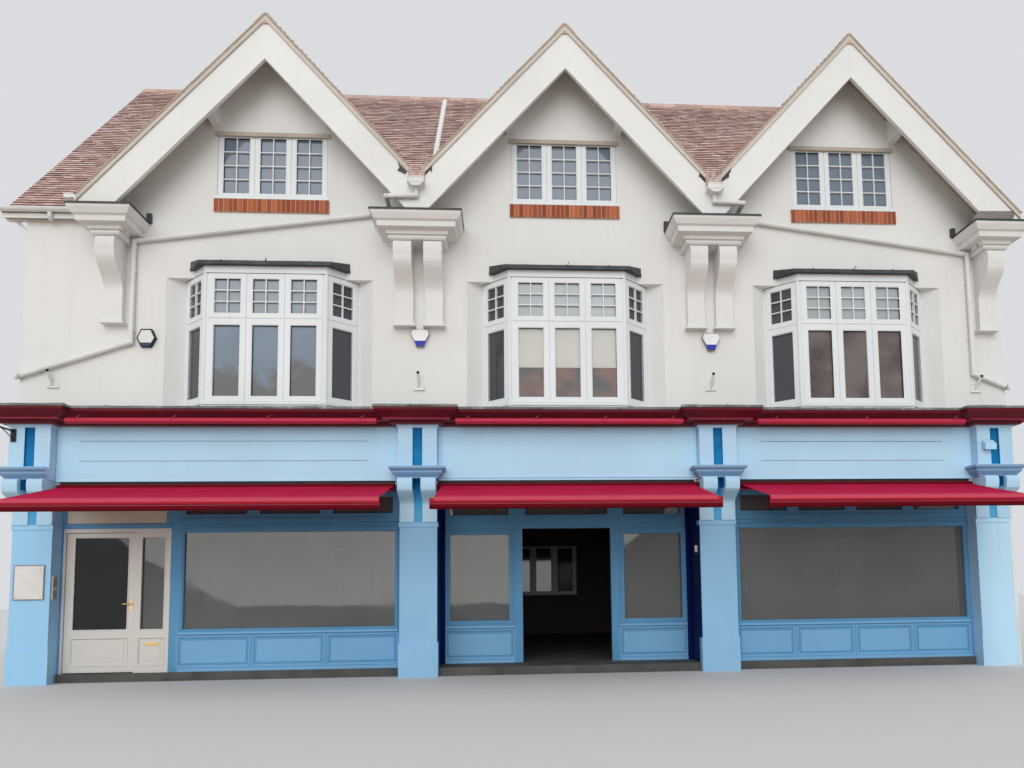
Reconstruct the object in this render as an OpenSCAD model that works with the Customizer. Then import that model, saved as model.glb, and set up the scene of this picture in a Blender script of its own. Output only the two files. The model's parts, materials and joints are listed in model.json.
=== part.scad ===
// Three-gabled corner shop: a rendered house over a timber shopfront.
// Millimetres. X runs along the street front, Y into the house, Z up.

/* [House] */
// Distance between the centre lines of neighbouring gables
bay_pitch = 4750; // [4500:50:5000]
// Wall left of the outermost left bracket
left_return = 1405; // [1300:5:1600]
// Wall right of the outermost right bracket
right_return = 305; // [285:5:400]
// Front wall face to back wall face
house_depth = 9000; // [8600:20:9800]
// Thickness of the masonry walls
wall_t = 330; // [300:5:380]

/* [Storeys] */
// Top of the shop floor
shop_floor_z = 130; // [100:5:160]
// Underside of the beam over the shopfronts
beam_z = 3000; // [2950:10:3060]
// Top of the beam, where the upper wall starts
upper_wall_z = 4000; // [3980:5:4040]
// Top of the attic floor
attic_floor_z = 6750; // [6700:10:6850]
// Thickness of the floors
floor_t = 250; // [200:10:280]

/* [Roof] */
// Slope of every roof face in degrees
roof_pitch = 47.5; // [46.5:0.1:48.5]
// Roof covering and rafters, square to the slope
roof_t = 180; // [150:5:200]
// Tile edge height above the front wall at the eaves
eaves_z = 7300; // [7280:5:7340]
// Eaves in front of the wall
eaves_overhang = 120; // [100:5:140]
// Roof edge beyond each end wall
verge_overhang = 320; // [280:10:360]
// Foot of the valley between two gables above the lead on the blocks
valley_rise = 628; // [600:2:660]
// Upright end of the barge boards at the outer feet
gable_toe_h = 65; // [50:5:80]
// Wall face to the back of the barge boards
barge_reach = 467; // [440:1:500]
// Thickness of the barge boards
barge_t = 60; // [45:5:70]
// Upright depth of the barge boards
barge_h = 635; // [600:5:660]
// Upright thickness of the tile edge over the barge boards
tile_edge_h = 110; // [90:5:130]
// Tile edge in front of the barge boards
tile_edge_out = 25; // [15:5:40]
// Joint between the roofs and the boards and ridge tiles that meet them
roof_joint = 0.3; // [0.3:0.1:0.8]
// Width of each leg of the ridge tiles
ridge_leg = 160; // [120:10:200]
// Thickness of the ridge tiles
ridge_t = 18; // [14:1:25]
// Width of the purlins that show under the gable eaves
purlin_w = 120; // [90:10:150]
// Purlins beside the middle of the gable
purlin_x = 900; // [860:10:940]
// Underside of the purlins above the drip bands
purlin_above = 95; // [60:5:130]
// Width of the timbers that carry the roof's corners
outrigger_w = 90; // [75:5:110]
// Those timbers below the eaves
outrigger_h = 50; // [45:5:60]
// Upright edge of the roof at its eaves
eaves_edge_h = 35; // [30:5:40]
// Width of the struts under them
strut_w = 50; // [40:5:60]
// Upright depth of the struts
strut_h = 60; // [45:5:75]
// Foot of the struts below the eaves
strut_drop = 290; // [260:10:330]

/* [Brackets under the gables] */
// Width of one big bracket
console_w = 285; // [260:5:310]
// Distance between the two brackets of a pair
console_pitch = 475; // [450:5:500]
// Underside of the brackets
console_z = 5550; // [5450:10:5650]
// Height of the brackets
console_h = 1300; // [1200:10:1400]
// Reach of the brackets at the top
console_top = 430; // [400:5:460]
// Reach of the brackets at the foot
console_foot = 120; // [100:5:150]
// Foot plate beyond the bracket on each side
console_plate = 35; // [25:5:45]
// Height of the moulded block on the brackets
block_h = 360; // [340:5:380]
// Reach of the block's cornice
block_reach = 700; // [670:5:730]
// Neck of the block beyond the side of the bracket
block_neck = 55; // [45:1:65]
// Dentils beyond the neck of the block
dentil_out = 50; // [40:5:60]
// Width of one dentil
dentil_w = 120; // [100:5:140]
// Lead on the blocks, bays and shop cornice
lead_t = 30; // [20:1:40]

/* [Attic windows] */
// Width of the attic windows
attic_win_w = 1750; // [1650:10:1850]
// Height of the attic windows
attic_win_h = 1075; // [1000:5:1120]
// Sill height of the attic windows
attic_win_z = 7680; // [7640:10:7720]
// Height of the brick course under the sill
brick_sill_h = 220; // [200:5:240]
// Brick course beyond each side of the window
brick_sill_side = 37; // [20:1:60]
// Width of one light
win_light_w = 405; // [380:5:420]
// Distance between the lights
win_pitch = 580; // [560:5:590]
// Frame under the lights
win_rail_low = 97; // [85:1:110]
// Frame over the lights
win_rail_top = 48; // [42:1:60]
// Height of the drip band over the window
hood_h = 65; // [50:5:80]
// Drip band down over the top of the frame
hood_lap = 35; // [20:1:40]
// How far brick course and drip band stand out
band_out = 35; // [25:5:50]

/* [Bay windows] */
// Half width of the canted bay at the wall
bay_half_w = 1370; // [1330:10:1400]
// Half width of the bay's front
bay_front_half = 930; // [900:10:960]
// Bay in front of the wall
bay_reach = 230; // [210:5:260]
// Bay frame behind the wall face
bay_set_back = 180; // [160:5:200]
// Half width of the splayed recess at the wall face
recess_half_w = 1620; // [1580:10:1660]
// Top of the recess and of the bay windows
bay_head_z = 6340; // [6300:10:6380]
// Thickness of the bay frame
bay_frame_t = 80; // [70:5:90]
// Joints between the panels of the bay frame
bay_joint = 0.4; // [0.3:0.1:0.8]
// Width of one light
light_w = 395; // [380:5:410]
// Width of the lights on the canted sides
side_light_w = 360; // [340:5:380]
// Distance between front lights
light_pitch = 588; // [570:1:600]
// Bottom of the lower lights
lower_light_z = 4375; // [4350:5:4400]
// Top of the lower lights
lower_light_top = 5500; // [5450:10:5550]
// Bottom of the upper lights
upper_light_z = 5700; // [5660:10:5740]
// Top of the upper lights
upper_light_top = 6245; // [6220:5:6260]
// Height of the board over the bay windows
bay_fascia_h = 115; // [100:5:125]
// Lead edge of the bay roofs
bay_roof_h = 55; // [45:5:65]
// Rise of the bay roofs to the wall
bay_roof_rise = 95; // [80:5:110]
// Sides of the bay roofs measured along the wall
bay_roof_side = 235; // [220:5:250]
// Overhang of the bay roofs
bay_roof_out = 90; // [75:5:100]
// Lower edge of the blinds in the middle bay
blind_z = 4860; // [4700:20:5100]

/* [Windows of the sides and back] */
// Height of the plain windows
plain_win_h = 1300; // [1200:20:1400]
// Sill height of the plain ground-floor windows
ground_sill_z = 1150; // [1000:50:1300]
// Sill height of the plain first-floor windows
first_sill_z = 4950; // [4850:50:5050]
// End wall corners to the middle of the nearest window
side_win_inset = 2600; // [2400:50:2800]

/* [Shop piers] */
// Width of a pier
pier_w = 580; // [560:5:600]
// Pier in front of the wall face
pier_out = 150; // [130:5:170]
// Left wall face to the left pier's edge
left_pier_in = 85; // [70:5:110]
// Right wall face to the right pier's edge
right_pier_in = 160; // [140:5:200]
// Height of the pier's plinth
plinth_h = 530; // [480:10:580]
// How far plinth and cap stand out
plinth_out = 14; // [10:1:20]
// Underside of the pier's cap
cap_z = 2320; // [2280:10:2340]
// Height of the pier's cap
cap_h = 75; // Underside of the moulding over the small brackets
abacus_z = 3065; // [3050:5:3080]
// Height of that moulding
abacus_h = 180; // [165:5:195]
// Moulding in front of the heads above it
abacus_out = 130; // [115:5:145]
// Wall face to the front of the heads
head_out = 325; // [305:5:345]
// Width of the strips on the heads
strip_w = 225; // [210:5:235]
// Gap between the strips
strip_gap = 150; // [135:5:165]
// Depth of that gap
strip_depth = 40; // [25:5:60]
// Height of the moulding at the top of the heads
neck_h = 45; // [35:5:55]
// Reach of that moulding
neck_out = 25; // [20:1:35]
// Bulge of the small brackets in front of the piers
small_console_out = 320; // [300:5:335]

/* [Shop cornice] */
// Underside of the cornice
cornice_z = 3905; // [3895:5:3915]
// Height of the cornice
cornice_h = 210; // [195:5:225]
// Reach of the cornice in front of fascias and heads
cornice_reach = 335; // [315:5:345]
// Radius of the trough lights
trough_r = 46; // [40:2:52]
// Trough lights beyond the corners of the breaks
trough_lap = 35; // [20:5:50]

/* [Fascias and awnings] */
// Wall face to the front of the fascia boards
fascia_out = 150; // [140:5:160]
// Thickness of the fascia boards
fascia_t = 40; // [30:5:45]
// Lower edge of the fascia boards
fascia_z = 3050; // [3040:5:3060]
// Reach of the awnings from the fascia
awning_reach = 1490; // [1350:20:1600]
// Awning cloth where it leaves the roller boxes
awning_top_z = 2945; // [2930:5:2955]
// Fall of the awnings from back to front
awning_fall = 330; // [300:5:360]
// Height of the front bars
bar_h = 160; // [140:5:175]
// Depth of the front bars
bar_d = 70; // [55:5:85]
// Cloth short of the bar's ends, left and right awning
cloth_in = 15; // [10:5:40]
// Cloth short of the bar's ends, middle awning
middle_cloth_in = 60; // [40:5:80]
// Thickness of the cloth
cloth_t = 8; // [6:1:12]
// Height of the roller boxes
roller_h = 120; // [110:5:130]
// Roller boxes in front of the fascia boards
roller_out = 100; // [80:5:120]
// Radius of the folding arms
arm_r = 20; // [16:1:24]
// Arms in from the ends of the bar
arm_in = 450; // [350:25:600]
// Elbows to the side of the arms' ends
elbow_out = 160; // [100:10:220]
// Left and right awnings clear of the piers on each side
awning_gap = 80; // [60:5:95]
// Middle awning clear of the piers on each side
middle_awning_gap = 18; // [12:1:30]

/* [Shopfronts] */
// Wall face to the front of the left and right shopfronts
front_in = 120; // [110:5:130]
// Wall face to the front of the recessed middle shopfront
lobby_in = 600; // [500:20:800]
// Depth of the shopfront frames
frame_t = 100; // [80:5:110]
// Top of the panelled stall risers
riser_z = 735; // [700:5:760]
// Bottom of the shop glass
glass_z = 775; // [770:1:800]
// Top of the shop glass
glass_top = 2290; // [2260:5:2300]
// Bottom of the transom lights
transom_z = 2525; // [2500:5:2560]
// Top of the transom lights
transom_top = 2880; // [2840:10:2920]
// Width of the shopfront posts
post_w = 100; // [80:5:110]
// Depth of the panels in the stall risers
panel_depth = 14; // [10:1:20]
// Rails over and under those panels
riser_rail = 80; // [70:5:100]
// Gap between those panels
riser_gap = 60; // [50:5:80]
// Panels beyond the edges of the glass
riser_side = 60; // [40:5:80]
// Lining boards of the recessed doorway
lining_t = 40; // [30:5:50]
// Width of the open middle doorway
doorway_w = 1480; // [1300:10:1500]
// Top of the open middle doorway
doorway_top = 2340; // [2300:10:2400]
// Thickness of every pane
pane_t = 8; // [6:1:12]

/* [Side door] */
// Width of the door leaf
leaf_w = 1050; // [950:5:1080]
// Thickness of the door leaf
leaf_t = 45; // [40:1:50]
// Gap round the leaf
leaf_gap = 7; // [6:1:10]
// Hinge knuckles clear of the frame
knuckle_gap = 0.3; // [0.3:0.1:1]
// Height of one hinge
hinge_h = 100; // [75:5:125]
// Door frame member
jamb_w = 60; // [50:2:70]
// Underside of the door head
door_head_z = 2290; // [2250:10:2300]
// Post beside the door frame
door_edge = 30; // [20:5:40]
// Frame on each side of the side light
sidelight_bar = 73; // [65:1:80]
// Sidelight between the leaf and the post
sidelight_w = 370; // [350:5:390]
// Width of the leaf's stiles
stile_w = 110; // [90:5:120]
// Underside of the panel over the door
door_panel_z = 2430; // [2400:10:2460]
// Height of the lever handle above the ground
handle_z = 1185; // [1100:5:1250]
// Radius of the lever
lever_r = 9; // [7:1:11]
// Length of the lever
lever_len = 130; // [110:5:150]
// Lever in front of the leaf
lever_out = 45; // [38:1:55]
// Thickness of the handle's plate
handle_plate_t = 8; // [5:1:10]

/* [Rainwater goods] */
// Radius of the rainwater pipes
pipe_r = 37; // [32:1:42]
// Pipe centre in front of the wall
pipe_out = 60; // [50:2:70]
// Radius of the gutters
gutter_r = 60; // [50:2:70]
// Gutters below the tile edge
gutter_drop = 10; // [6:1:14]
// How far the gutters stand up past the tiles' edge
gutter_lift = 80; // [60:5:90]
// Thickness of the gutters
gutter_t = 5; // [4:1:6]
// Width of the hoppers
hopper_w = 250; // [220:10:280]
// Depth of the hoppers
hopper_d = 170; // [150:5:190]
// Height of the hoppers
hopper_h = 150; // [130:5:170]
// Pipe clear of the boards and brackets it passes
pipe_clear = 12; // [8:1:16]
// Fall of the pipe across the hopper's outlet
outlet_fall = 110; // [90:5:130]
// Outlet pipe beside the hopper
swan_out = 470; // [440:10:500]
// Lower bend of the left pipe
left_bend_z = 5270; // [5200:10:5340]
// Lower end of the left pipe
left_pipe_end_z = 4700; // [4640:10:4760]
// Lower bend of the right pipe
right_bend_z = 4830; // [4780:10:4900]
// Lower end of the right pipe
right_pipe_end_z = 4590; // [4530:10:4650]

/* [Fittings] */
// Width of the alarm boxes
alarm_w = 300; // [260:10:340]
// Depth of the alarm boxes
alarm_t = 80; // [60:5:100]
// Alarm boxes below the big brackets
alarm_drop = 20; // [10:5:40]
// Hexagonal alarm box beside the left bracket
hex_in = 500; // [480:10:560]
// Height of the pole sockets
socket_z = 4600; // [4560:10:4700]
// Length of the pole sockets
socket_len = 170; // [140:10:200]
// Radius of the pole sockets
socket_r = 28; // [22:1:34]
// Base plates of the pole sockets
socket_plate = 120; // [100:5:140]
// Width of the plate on the left pier
plaque_w = 420; // [380:10:460]
// Height of that plate
plaque_h = 510; // [460:10:560]
// Lower edge of that plate
plaque_z = 1280; // [1240:10:1320]
// Thickness of plates on the walls
plate_t = 12; // [8:1:20]
// Height of the call box beside the door
call_h = 360; // [320:10:400]
// Width of the call box
call_w = 120; // [100:5:140]
// Depth of the call box
call_t = 25; // [20:1:35]
// Top of the sign arm on the left pier
sign_arm_z = 3820; // [3800:5:3830]
// Length of that arm
sign_arm = 600; // [450:25:700]
// Height of the arm's plate
sign_plate = 185; // [160:5:200]
// Reach of the floodlight on the right pier
flood_out = 110; // [90:5:130]

/* [Hidden] */
$fn = 32;
far = 30000;

// Places along the street front
gable_x = [-bay_pitch, 0, bay_pitch];
bracket_x = [for (i = [-1.5 : 1 : 1.5]) i * bay_pitch];
wall_l = bracket_x[0] - left_return;
wall_r = bracket_x[3] + right_return;
verge_l = wall_l - verge_overhang;
verge_r = wall_r + verge_overhang;
pier_x = [
    wall_l + left_pier_in + pier_w / 2,
    bracket_x[1],
    bracket_x[2],
    wall_r - right_pier_in - pier_w / 2
];
function bay_start(i) = pier_x[i] + pier_w / 2;
function bay_end(i) = pier_x[i + 1] - pier_w / 2;

// Roof planes
tp = tan(roof_pitch);
roof_v = roof_t / cos(roof_pitch);
ridge_y = house_depth / 2;
ridge_z = eaves_z + tp * (ridge_y + eaves_overhang);
eaves_soffit_z = eaves_z - eaves_edge_h;
barge_y = -(barge_reach + barge_t);
tile_y = barge_y - tile_edge_out;

// Blocks under the gable feet
block_z = console_z + console_h;
block_top = block_z + block_h;
lead_top = block_top + lead_t;
valley_z = lead_top + valley_rise;
gable_ridge_z = valley_z + tp * bay_pitch / 2;
gable_foot_z = lead_top + tile_edge_h + gable_toe_h;
gable_half_w = (gable_ridge_z - gable_foot_z) / tp;
hood_z = attic_win_z + attic_win_h - hood_lap;
purlin_z = hood_z + hood_h + purlin_above;
function is_pair(i) = i == 1 || i == 2;
function console_half(i) = is_pair(i) ? (console_pitch + console_w) / 2 : console_w / 2;
block_over = block_reach - console_top;
function block_half(i) = console_half(i) + block_neck + block_over;

// Shop cornice
strips_half = strip_w + strip_gap / 2;
cornice_top = cornice_z + cornice_h;
cornice_lead_top = cornice_top + 2 * lead_t;
break_half = strips_half + cornice_reach;
break_y = -(head_out + cornice_reach);
cornice_y = -(fascia_out + cornice_reach);
soffit_z = cornice_z + cornice_h * 0.2;
trough_y = cornice_y - trough_r / 3;
trough_z = cornice_z + trough_r / 2;
beam_y = fascia_t - fascia_out;

// Side door
door_x0 = bay_start(0) + jamb_w;
hinge_y = front_in + 78;
leaf_z0 = shop_floor_z + 12;
leaf_top = door_head_z - leaf_gap;
leaf_glass_z = riser_z + jamb_w - 15;
sidelight_z = leaf_glass_z;
leaf_glass_top = leaf_top - jamb_w;
door_stop_x = door_x0 + leaf_w + 2 * leaf_gap;
sidelight_x = door_stop_x + sidelight_bar;
door_post_x = sidelight_x + sidelight_w;
door_frame_x1 = door_post_x + sidelight_bar;
door_frame_top = door_head_z + jamb_w;
window_x0 = door_frame_x1 + 2 * post_w;

// The origin is under the middle of the whole building
lead_out = 12;
left_end = min(verge_l, pier_x[0] - break_half - lead_out);
right_end = max(verge_r, pier_x[3] + break_half + lead_out);
gutter_gap = 5;
back_y = house_depth + eaves_overhang + gutter_gap + 2 * gutter_r;
centre = [(left_end + right_end) / 2, (back_y - fascia_out - awning_reach) / 2, 0];

// Colours
wall_white = [0.86, 0.85, 0.82];
paint_white = [0.93, 0.93, 0.91];
tile_red = [0.52, 0.27, 0.20];
brick_orange = [0.75, 0.38, 0.24];
shop_blue = [0.60, 0.76, 0.90];
deep_blue = [0.05, 0.20, 0.50];
crimson = [0.65, 0.08, 0.20];
lead_grey = [0.42, 0.45, 0.50];
glass_blue = [0.45, 0.55, 0.62];
stone_grey = [0.60, 0.59, 0.56];
brass_gold = [0.75, 0.60, 0.30];

// A box between two corners
module box(a, b) {
    translate(a) cube(b - a);
}

// Extrudes an outline drawn in X and Z from y0 to y1
module along_y(y0, y1) {
    translate([0, y1, 0]) rotate([90, 0, 0]) linear_extrude(y1 - y0) children();
}

// Extrudes an outline drawn in Y and Z from x0 to x1
module along_x(x0, x1) {
    translate([x0, 0, 0]) rotate([90, 0, 90]) linear_extrude(x1 - x0) children();
}

// Space under one face of the main roof, drop below its tiles
module under_main(drop, x0 = verge_l, x1 = verge_r) {
    along_x(x0, x1)
        polygon([
            [-eaves_overhang, 0], [-eaves_overhang, eaves_z - drop], [ridge_y, ridge_z - drop],
            [house_depth + eaves_overhang, eaves_z - drop], [house_depth + eaves_overhang, 0]
        ]);
}

// Space under the three gables, drop below their tiles
module under_gables(drop, y0, y1) {
    along_y(y0, y1)
        polygon(concat(
            [[gable_x[0] - gable_half_w, 0]],
            [for (i = [0 : 2], s = [-1, 0, 1])
                if (s == 0) [gable_x[i], gable_ridge_z - drop]
                else if (s < 0 && i == 0) [gable_x[0] - gable_half_w, gable_foot_z - drop]
                else if (s > 0 && i == 2) [gable_x[2] + gable_half_w, gable_foot_z - drop]
                else if (s > 0) [gable_x[i] + bay_pitch / 2, valley_z - drop]
            ],
            [[gable_x[2] + gable_half_w, 0]]
        ));
}

// Three lights side by side, as holes through a frame
module three_lights(w, h, depth) {
    for (i = [-1 : 1])
        translate([i * win_pitch - win_light_w / 2, -1, win_rail_low])
            cube([win_light_w, depth + 2, h - win_rail_low - win_rail_top]);
}
win_frame_t = 70;
win_in = 25;

// A window frame with three lights, its outer face at y = 0
module window_frame(w, h) {
    difference() {
        translate([-w / 2, 0, 0]) cube([w, win_frame_t, h]);
        three_lights(w, h, win_frame_t);
    }
}

// The panes of that window
module window_panes(w, h) {
    translate([0, (win_frame_t - pane_t) / 2, 0])
        intersection() {
            translate([-w / 2, 0, 0]) cube([w, pane_t, h]);
            three_lights(w, h, pane_t);
        }
}

// Every plain window: back wall by bays, end walls by side_win_inset, attic in the end gables
plain_sills = [ground_sill_z, first_sill_z];
module at_plain_windows() {
    for (z = plain_sills) {
        for (x = gable_x)
            translate([x, house_depth - win_in, z]) rotate(180) children();
        for (y = [side_win_inset, house_depth - side_win_inset]) {
            translate([wall_l + win_in, y, z]) rotate(-90) children();
            translate([wall_r - win_in, y, z]) rotate(90) children();
        }
    }
}
module at_end_attic_windows() {
    translate([wall_l + win_in, ridge_y, attic_win_z]) rotate(-90) children();
    translate([wall_r - win_in, ridge_y, attic_win_z]) rotate(90) children();
}
module at_front_attic_windows() {
    for (x = gable_x) translate([x, win_in, attic_win_z]) children();
}
module window_hole(w, h) {
    translate([-w / 2, -win_in - 1, 0]) cube([w, wall_t + 2, h]);
}

// A bracket with an S-shaped front: full at the top, hollow below
function s_curve(t) = 0.5 - 0.5 * cos(180 * t);
module s_bracket(w, z, h, foot, top, low = 0, round = 0.13) {
    ledge = h * 0.03;
    scroll = h * round;
    steps = 12;
    along_x(-w / 2, w / 2)
        polygon(concat(
            [[0, z], [-foot - ledge / 2, z], [-foot - ledge / 2, z + ledge], [-foot, z + ledge]],
            [for (i = [0 : steps])
                let (t = i / steps)
                [-foot - (top - foot) * s_curve(t),
                    z + ledge + (h - ledge - 2 * scroll) * (low + (1 - low) * t)]],
            [for (a = [15 : 15 : 90])
                [-top + scroll * 0.45 * (1 - cos(a)) - scroll * 0.25 * sin(2 * a),
                    z + h - 2 * scroll + 2 * scroll * sin(a)]],
            [[0, z + h]]
        ));
}

// A moulded block that returns round its three free sides: profile is a list of [reach, height]
module returned_moulding(half, y_back, profile, reach0) {
    last = len(profile) - 1;
    intersection() {
        along_x(-half * 3, half * 3)
            polygon(concat(
                [[y_back, profile[0][1]]],
                [for (p = profile) [-reach0 - p[0], p[1]]],
                [[y_back, profile[last][1]]]
            ));
        along_y(-reach0 - half * 3, y_back + 1)
            polygon(concat(
                [for (p = profile) [half + p[0], p[1]]],
                [for (i = [last : -1 : 0]) [-half - profile[i][0], profile[i][1]]]
            ));
    }
}

// Floors
module ground_floor() {
    color(stone_grey)
        box([wall_l + wall_t, wall_t, 0], [wall_r - wall_t, house_depth - wall_t, shop_floor_z]);
}
module upper_floors() {
    color(stone_grey)
        for (z = [upper_wall_z, attic_floor_z])
            box([wall_l + wall_t, wall_t, z - floor_t],
                [wall_r - wall_t, house_depth - wall_t, z]);
}

// Masonry walls
module plain_window_holes() {
    at_plain_windows() window_hole(attic_win_w, plain_win_h);
    at_end_attic_windows() window_hole(attic_win_w, attic_win_h);
}
module left_wall() {
    color(wall_white) {
        difference() {
            intersection() {
                box([wall_l, wall_t, 0], [wall_l + wall_t, house_depth, ridge_z]);
                under_main(roof_v);
            }
            plain_window_holes();
        }
        box([wall_l, 0, 0], [wall_l + left_pier_in, wall_t, upper_wall_z]);
    }
}
module right_wall() {
    color(wall_white) {
        difference() {
            intersection() {
                box([wall_r - wall_t, wall_t, 0], [wall_r, house_depth, ridge_z]);
                under_main(roof_v);
            }
            plain_window_holes();
        }
        box([wall_r - right_pier_in, 0, 0], [wall_r, wall_t, upper_wall_z]);
    }
}
module back_wall() {
    color(wall_white)
        difference() {
            intersection() {
                box([wall_l + wall_t, house_depth - wall_t, 0],
                    [wall_r - wall_t, house_depth, ridge_z]);
                under_main(roof_v);
            }
            plain_window_holes();
        }
}
module recess_hole(x) {
    translate([x, 0, cornice_lead_top]) linear_extrude(bay_head_z - cornice_lead_top)
        polygon([
            [-recess_half_w, -1], [-recess_half_w, 0], [-bay_half_w, bay_set_back],
            [-bay_half_w, wall_t + 1], [bay_half_w, wall_t + 1], [bay_half_w, bay_set_back],
            [recess_half_w, 0], [recess_half_w, -1]
        ]);
}
module front_wall() {
    color(wall_white)
        difference() {
            intersection() {
                box([wall_l, 0, upper_wall_z], [wall_r, wall_t, ridge_z]);
                union() {
                    under_main(roof_v);
                    under_gables(roof_v, -1, wall_t + 1);
                }
            }
            for (x = gable_x) recess_hole(x);
            at_front_attic_windows() window_hole(attic_win_w, attic_win_h);
        }
}
module shop_beam() {
    color(wall_white)
        box([bay_start(0) - pier_w, beam_y, beam_z],
            [bay_end(2) + pier_w, wall_t, upper_wall_z]);
}

// Shopfront piers, with their plinths and caps
module shop_piers() {
    color(shop_blue)
        for (x = pier_x) translate([x, 0, 0])
            union() {
                box([-pier_w / 2, -pier_out, 0], [pier_w / 2, wall_t, beam_z]);
                box([-pier_w / 2, -pier_out, 0], [pier_w / 2, beam_y, abacus_z]);
                box([-pier_w / 2 - plinth_out, -pier_out - plinth_out, 0],
                    [pier_w / 2 + plinth_out, 0, plinth_h]);
                box([-pier_w / 2 - plinth_out, -pier_out - plinth_out, cap_z],
                    [pier_w / 2 + plinth_out, 0, cap_z + cap_h]);
            }
}
// Heads of the piers: two strips with a recess between, and mouldings at both ends
module pier_heads() {
    color(shop_blue)
        for (x = pier_x) translate([x, 0, 0]) difference() {
            union() {
                box([-pier_w / 2, -head_out + strip_depth, abacus_z], [pier_w / 2, beam_y, cornice_z]);
                for (s = [-1, 1]) translate([s * (strip_gap + strip_w) / 2, 0, 0])
                    box([-strip_w / 2, -head_out, abacus_z], [strip_w / 2, beam_y, cornice_z]);
                returned_moulding(strips_half, beam_y, [
                    [abacus_out * 0.2, abacus_z], [abacus_out * 0.2, abacus_z + abacus_h * 0.08],
                    [abacus_out * 0.65, abacus_z + abacus_h * 0.45],
                    [abacus_out * 0.65, abacus_z + abacus_h * 0.6],
                    [abacus_out, abacus_z + abacus_h * 0.78], [abacus_out, abacus_z + abacus_h]
                ], head_out);
                returned_moulding(strips_half, beam_y, [
                    [0, cornice_z - neck_h], [neck_out, cornice_z - neck_h * 0.4], [neck_out, cornice_z]
                ], head_out);
            }
            // The first head's lower moulding stops at its right-hand strip
            if (x == pier_x[0])
                box([strips_half, -head_out - abacus_out - 1, abacus_z - 1],
                    [strips_half + abacus_out + 1, beam_y + 1, abacus_z + abacus_h + 1]);
            for (i = [0 : 2])
                box([bay_start(i) + plinth_out - x, -fascia_out, fascia_z - 1],
                    [bay_end(i) - plinth_out - x, beam_y + 1, cornice_z + 1]);
        }
}
module pier_consoles() {
    color(shop_blue)
        for (x = pier_x, s = [-1, 1])
            translate([x + s * (pier_w - strip_w) / 2, -pier_out, 0])
                s_bracket(strip_w, cap_z + cap_h, abacus_z - cap_z - cap_h, plinth_out + 10,
                    small_console_out, 0.55);
}

// Fascia boards between the piers
module shop_fascias() {
    color(shop_blue)
        for (i = [0 : 2])
            box([bay_start(i) + plinth_out, -fascia_out, fascia_z],
                [bay_end(i) - plinth_out, beam_y, cornice_z]);
}

// Crimson cornice, straight between the piers and broken forward over them
cornice_profile = [for (i = [0 : 6])
    let (t = i / 6)
    [0.62 + 0.38 * s_curve(t), 0.28 + 0.62 * t]];
function cornice_points(reach) = concat(
    [[reach * 0.3, cornice_z], [reach * 0.35, cornice_z + cornice_h * 0.2]],
    [[reach * 0.62, cornice_z + cornice_h * 0.2]],
    [for (p = cornice_profile) [reach * p[0], cornice_z + cornice_h * p[1]]],
    [[reach, cornice_top]]
);
module cornice_break_block(x) {
    translate([x, 0, 0])
        returned_moulding(strips_half, 0, cornice_points(cornice_reach), head_out);
}
module shop_cornice() {
    pts = cornice_points(cornice_reach);
    color(crimson)
        difference() {
            union() {
                along_x(pier_x[0], pier_x[3])
                    polygon(concat(
                        [[0, cornice_z]],
                        [for (p = pts) [-fascia_out - p[0], p[1]]],
                        [[0, cornice_top]]
                    ));
                for (x = pier_x) cornice_break_block(x);
            }
            box([bay_start(0) - pier_w, beam_y, cornice_z - 1], [bay_end(2) + pier_w, wall_t, upper_wall_z]);
        }
}
module cornice_lead() {
    out = lead_out;
    color(lead_grey)
        union() {
            box([pier_x[0], cornice_y - out, cornice_top], [pier_x[3], 0, cornice_lead_top]);
            for (x = pier_x)
                box([x - break_half - out, break_y - out, cornice_top],
                    [x + break_half + out, 0, cornice_lead_top]);
        }
}

// Trough lights that hang on short arms under the cornice
module trough_lights() {
    arm = 8;
    color(crimson)
        for (i = [0 : 2]) {
            x0 = pier_x[i] + break_half - trough_lap;
            x1 = pier_x[i + 1] - break_half + trough_lap;
            arms = 6;
            difference() {
                union() {
                    along_x(x0, x1) translate([trough_y, trough_z]) circle(trough_r);
                    for (k = [0 : arms - 1])
                        translate([x0 + (x1 - x0) * (k + 0.5) / arms, 0, 0])
                            box([-arm, trough_y, soffit_z - arm], [arm, cornice_y + cornice_reach * 0.5, soffit_z]);
                }
                along_x(x0 + arm / 2, x1 - arm / 2)
                    translate([trough_y, trough_z]) difference() {
                        circle(trough_r - arm / 2);
                        translate([-far, trough_r * 0.1]) square(2 * far);
                    }
                box([x0 + arm / 2, trough_y, trough_z - 2 * trough_r], [x1 - arm / 2, trough_y + 2 * trough_r, trough_z]);
            }
        }
}

// A stretch of shopfront with stall riser, window and transom lights
module front_panel(x0, x1, y, openings, panels, transoms, top = beam_z) {
    difference() {
        box([x0, y, shop_floor_z], [x1, y + frame_t, top]);
        for (o = openings) box([o[0], y - 1, o[2]], [o[1], y + frame_t + 1, o[3]]);
        for (p = panels)
            box([p[0], y - 1, shop_floor_z + riser_rail], [p[1], y + panel_depth, riser_z - riser_rail]);
        for (t = transoms) box([t[0], y - 1, transom_z], [t[1], y + frame_t + 1, transom_top]);
    }
}
// n equal parts between x0 and x1 with bars between them
function parts(x0, x1, n, bar) = let (w = (x1 - x0 - (n - 1) * bar) / n)
    [for (i = [0 : n - 1]) [x0 + i * (w + bar), x0 + i * (w + bar) + w]];

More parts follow.
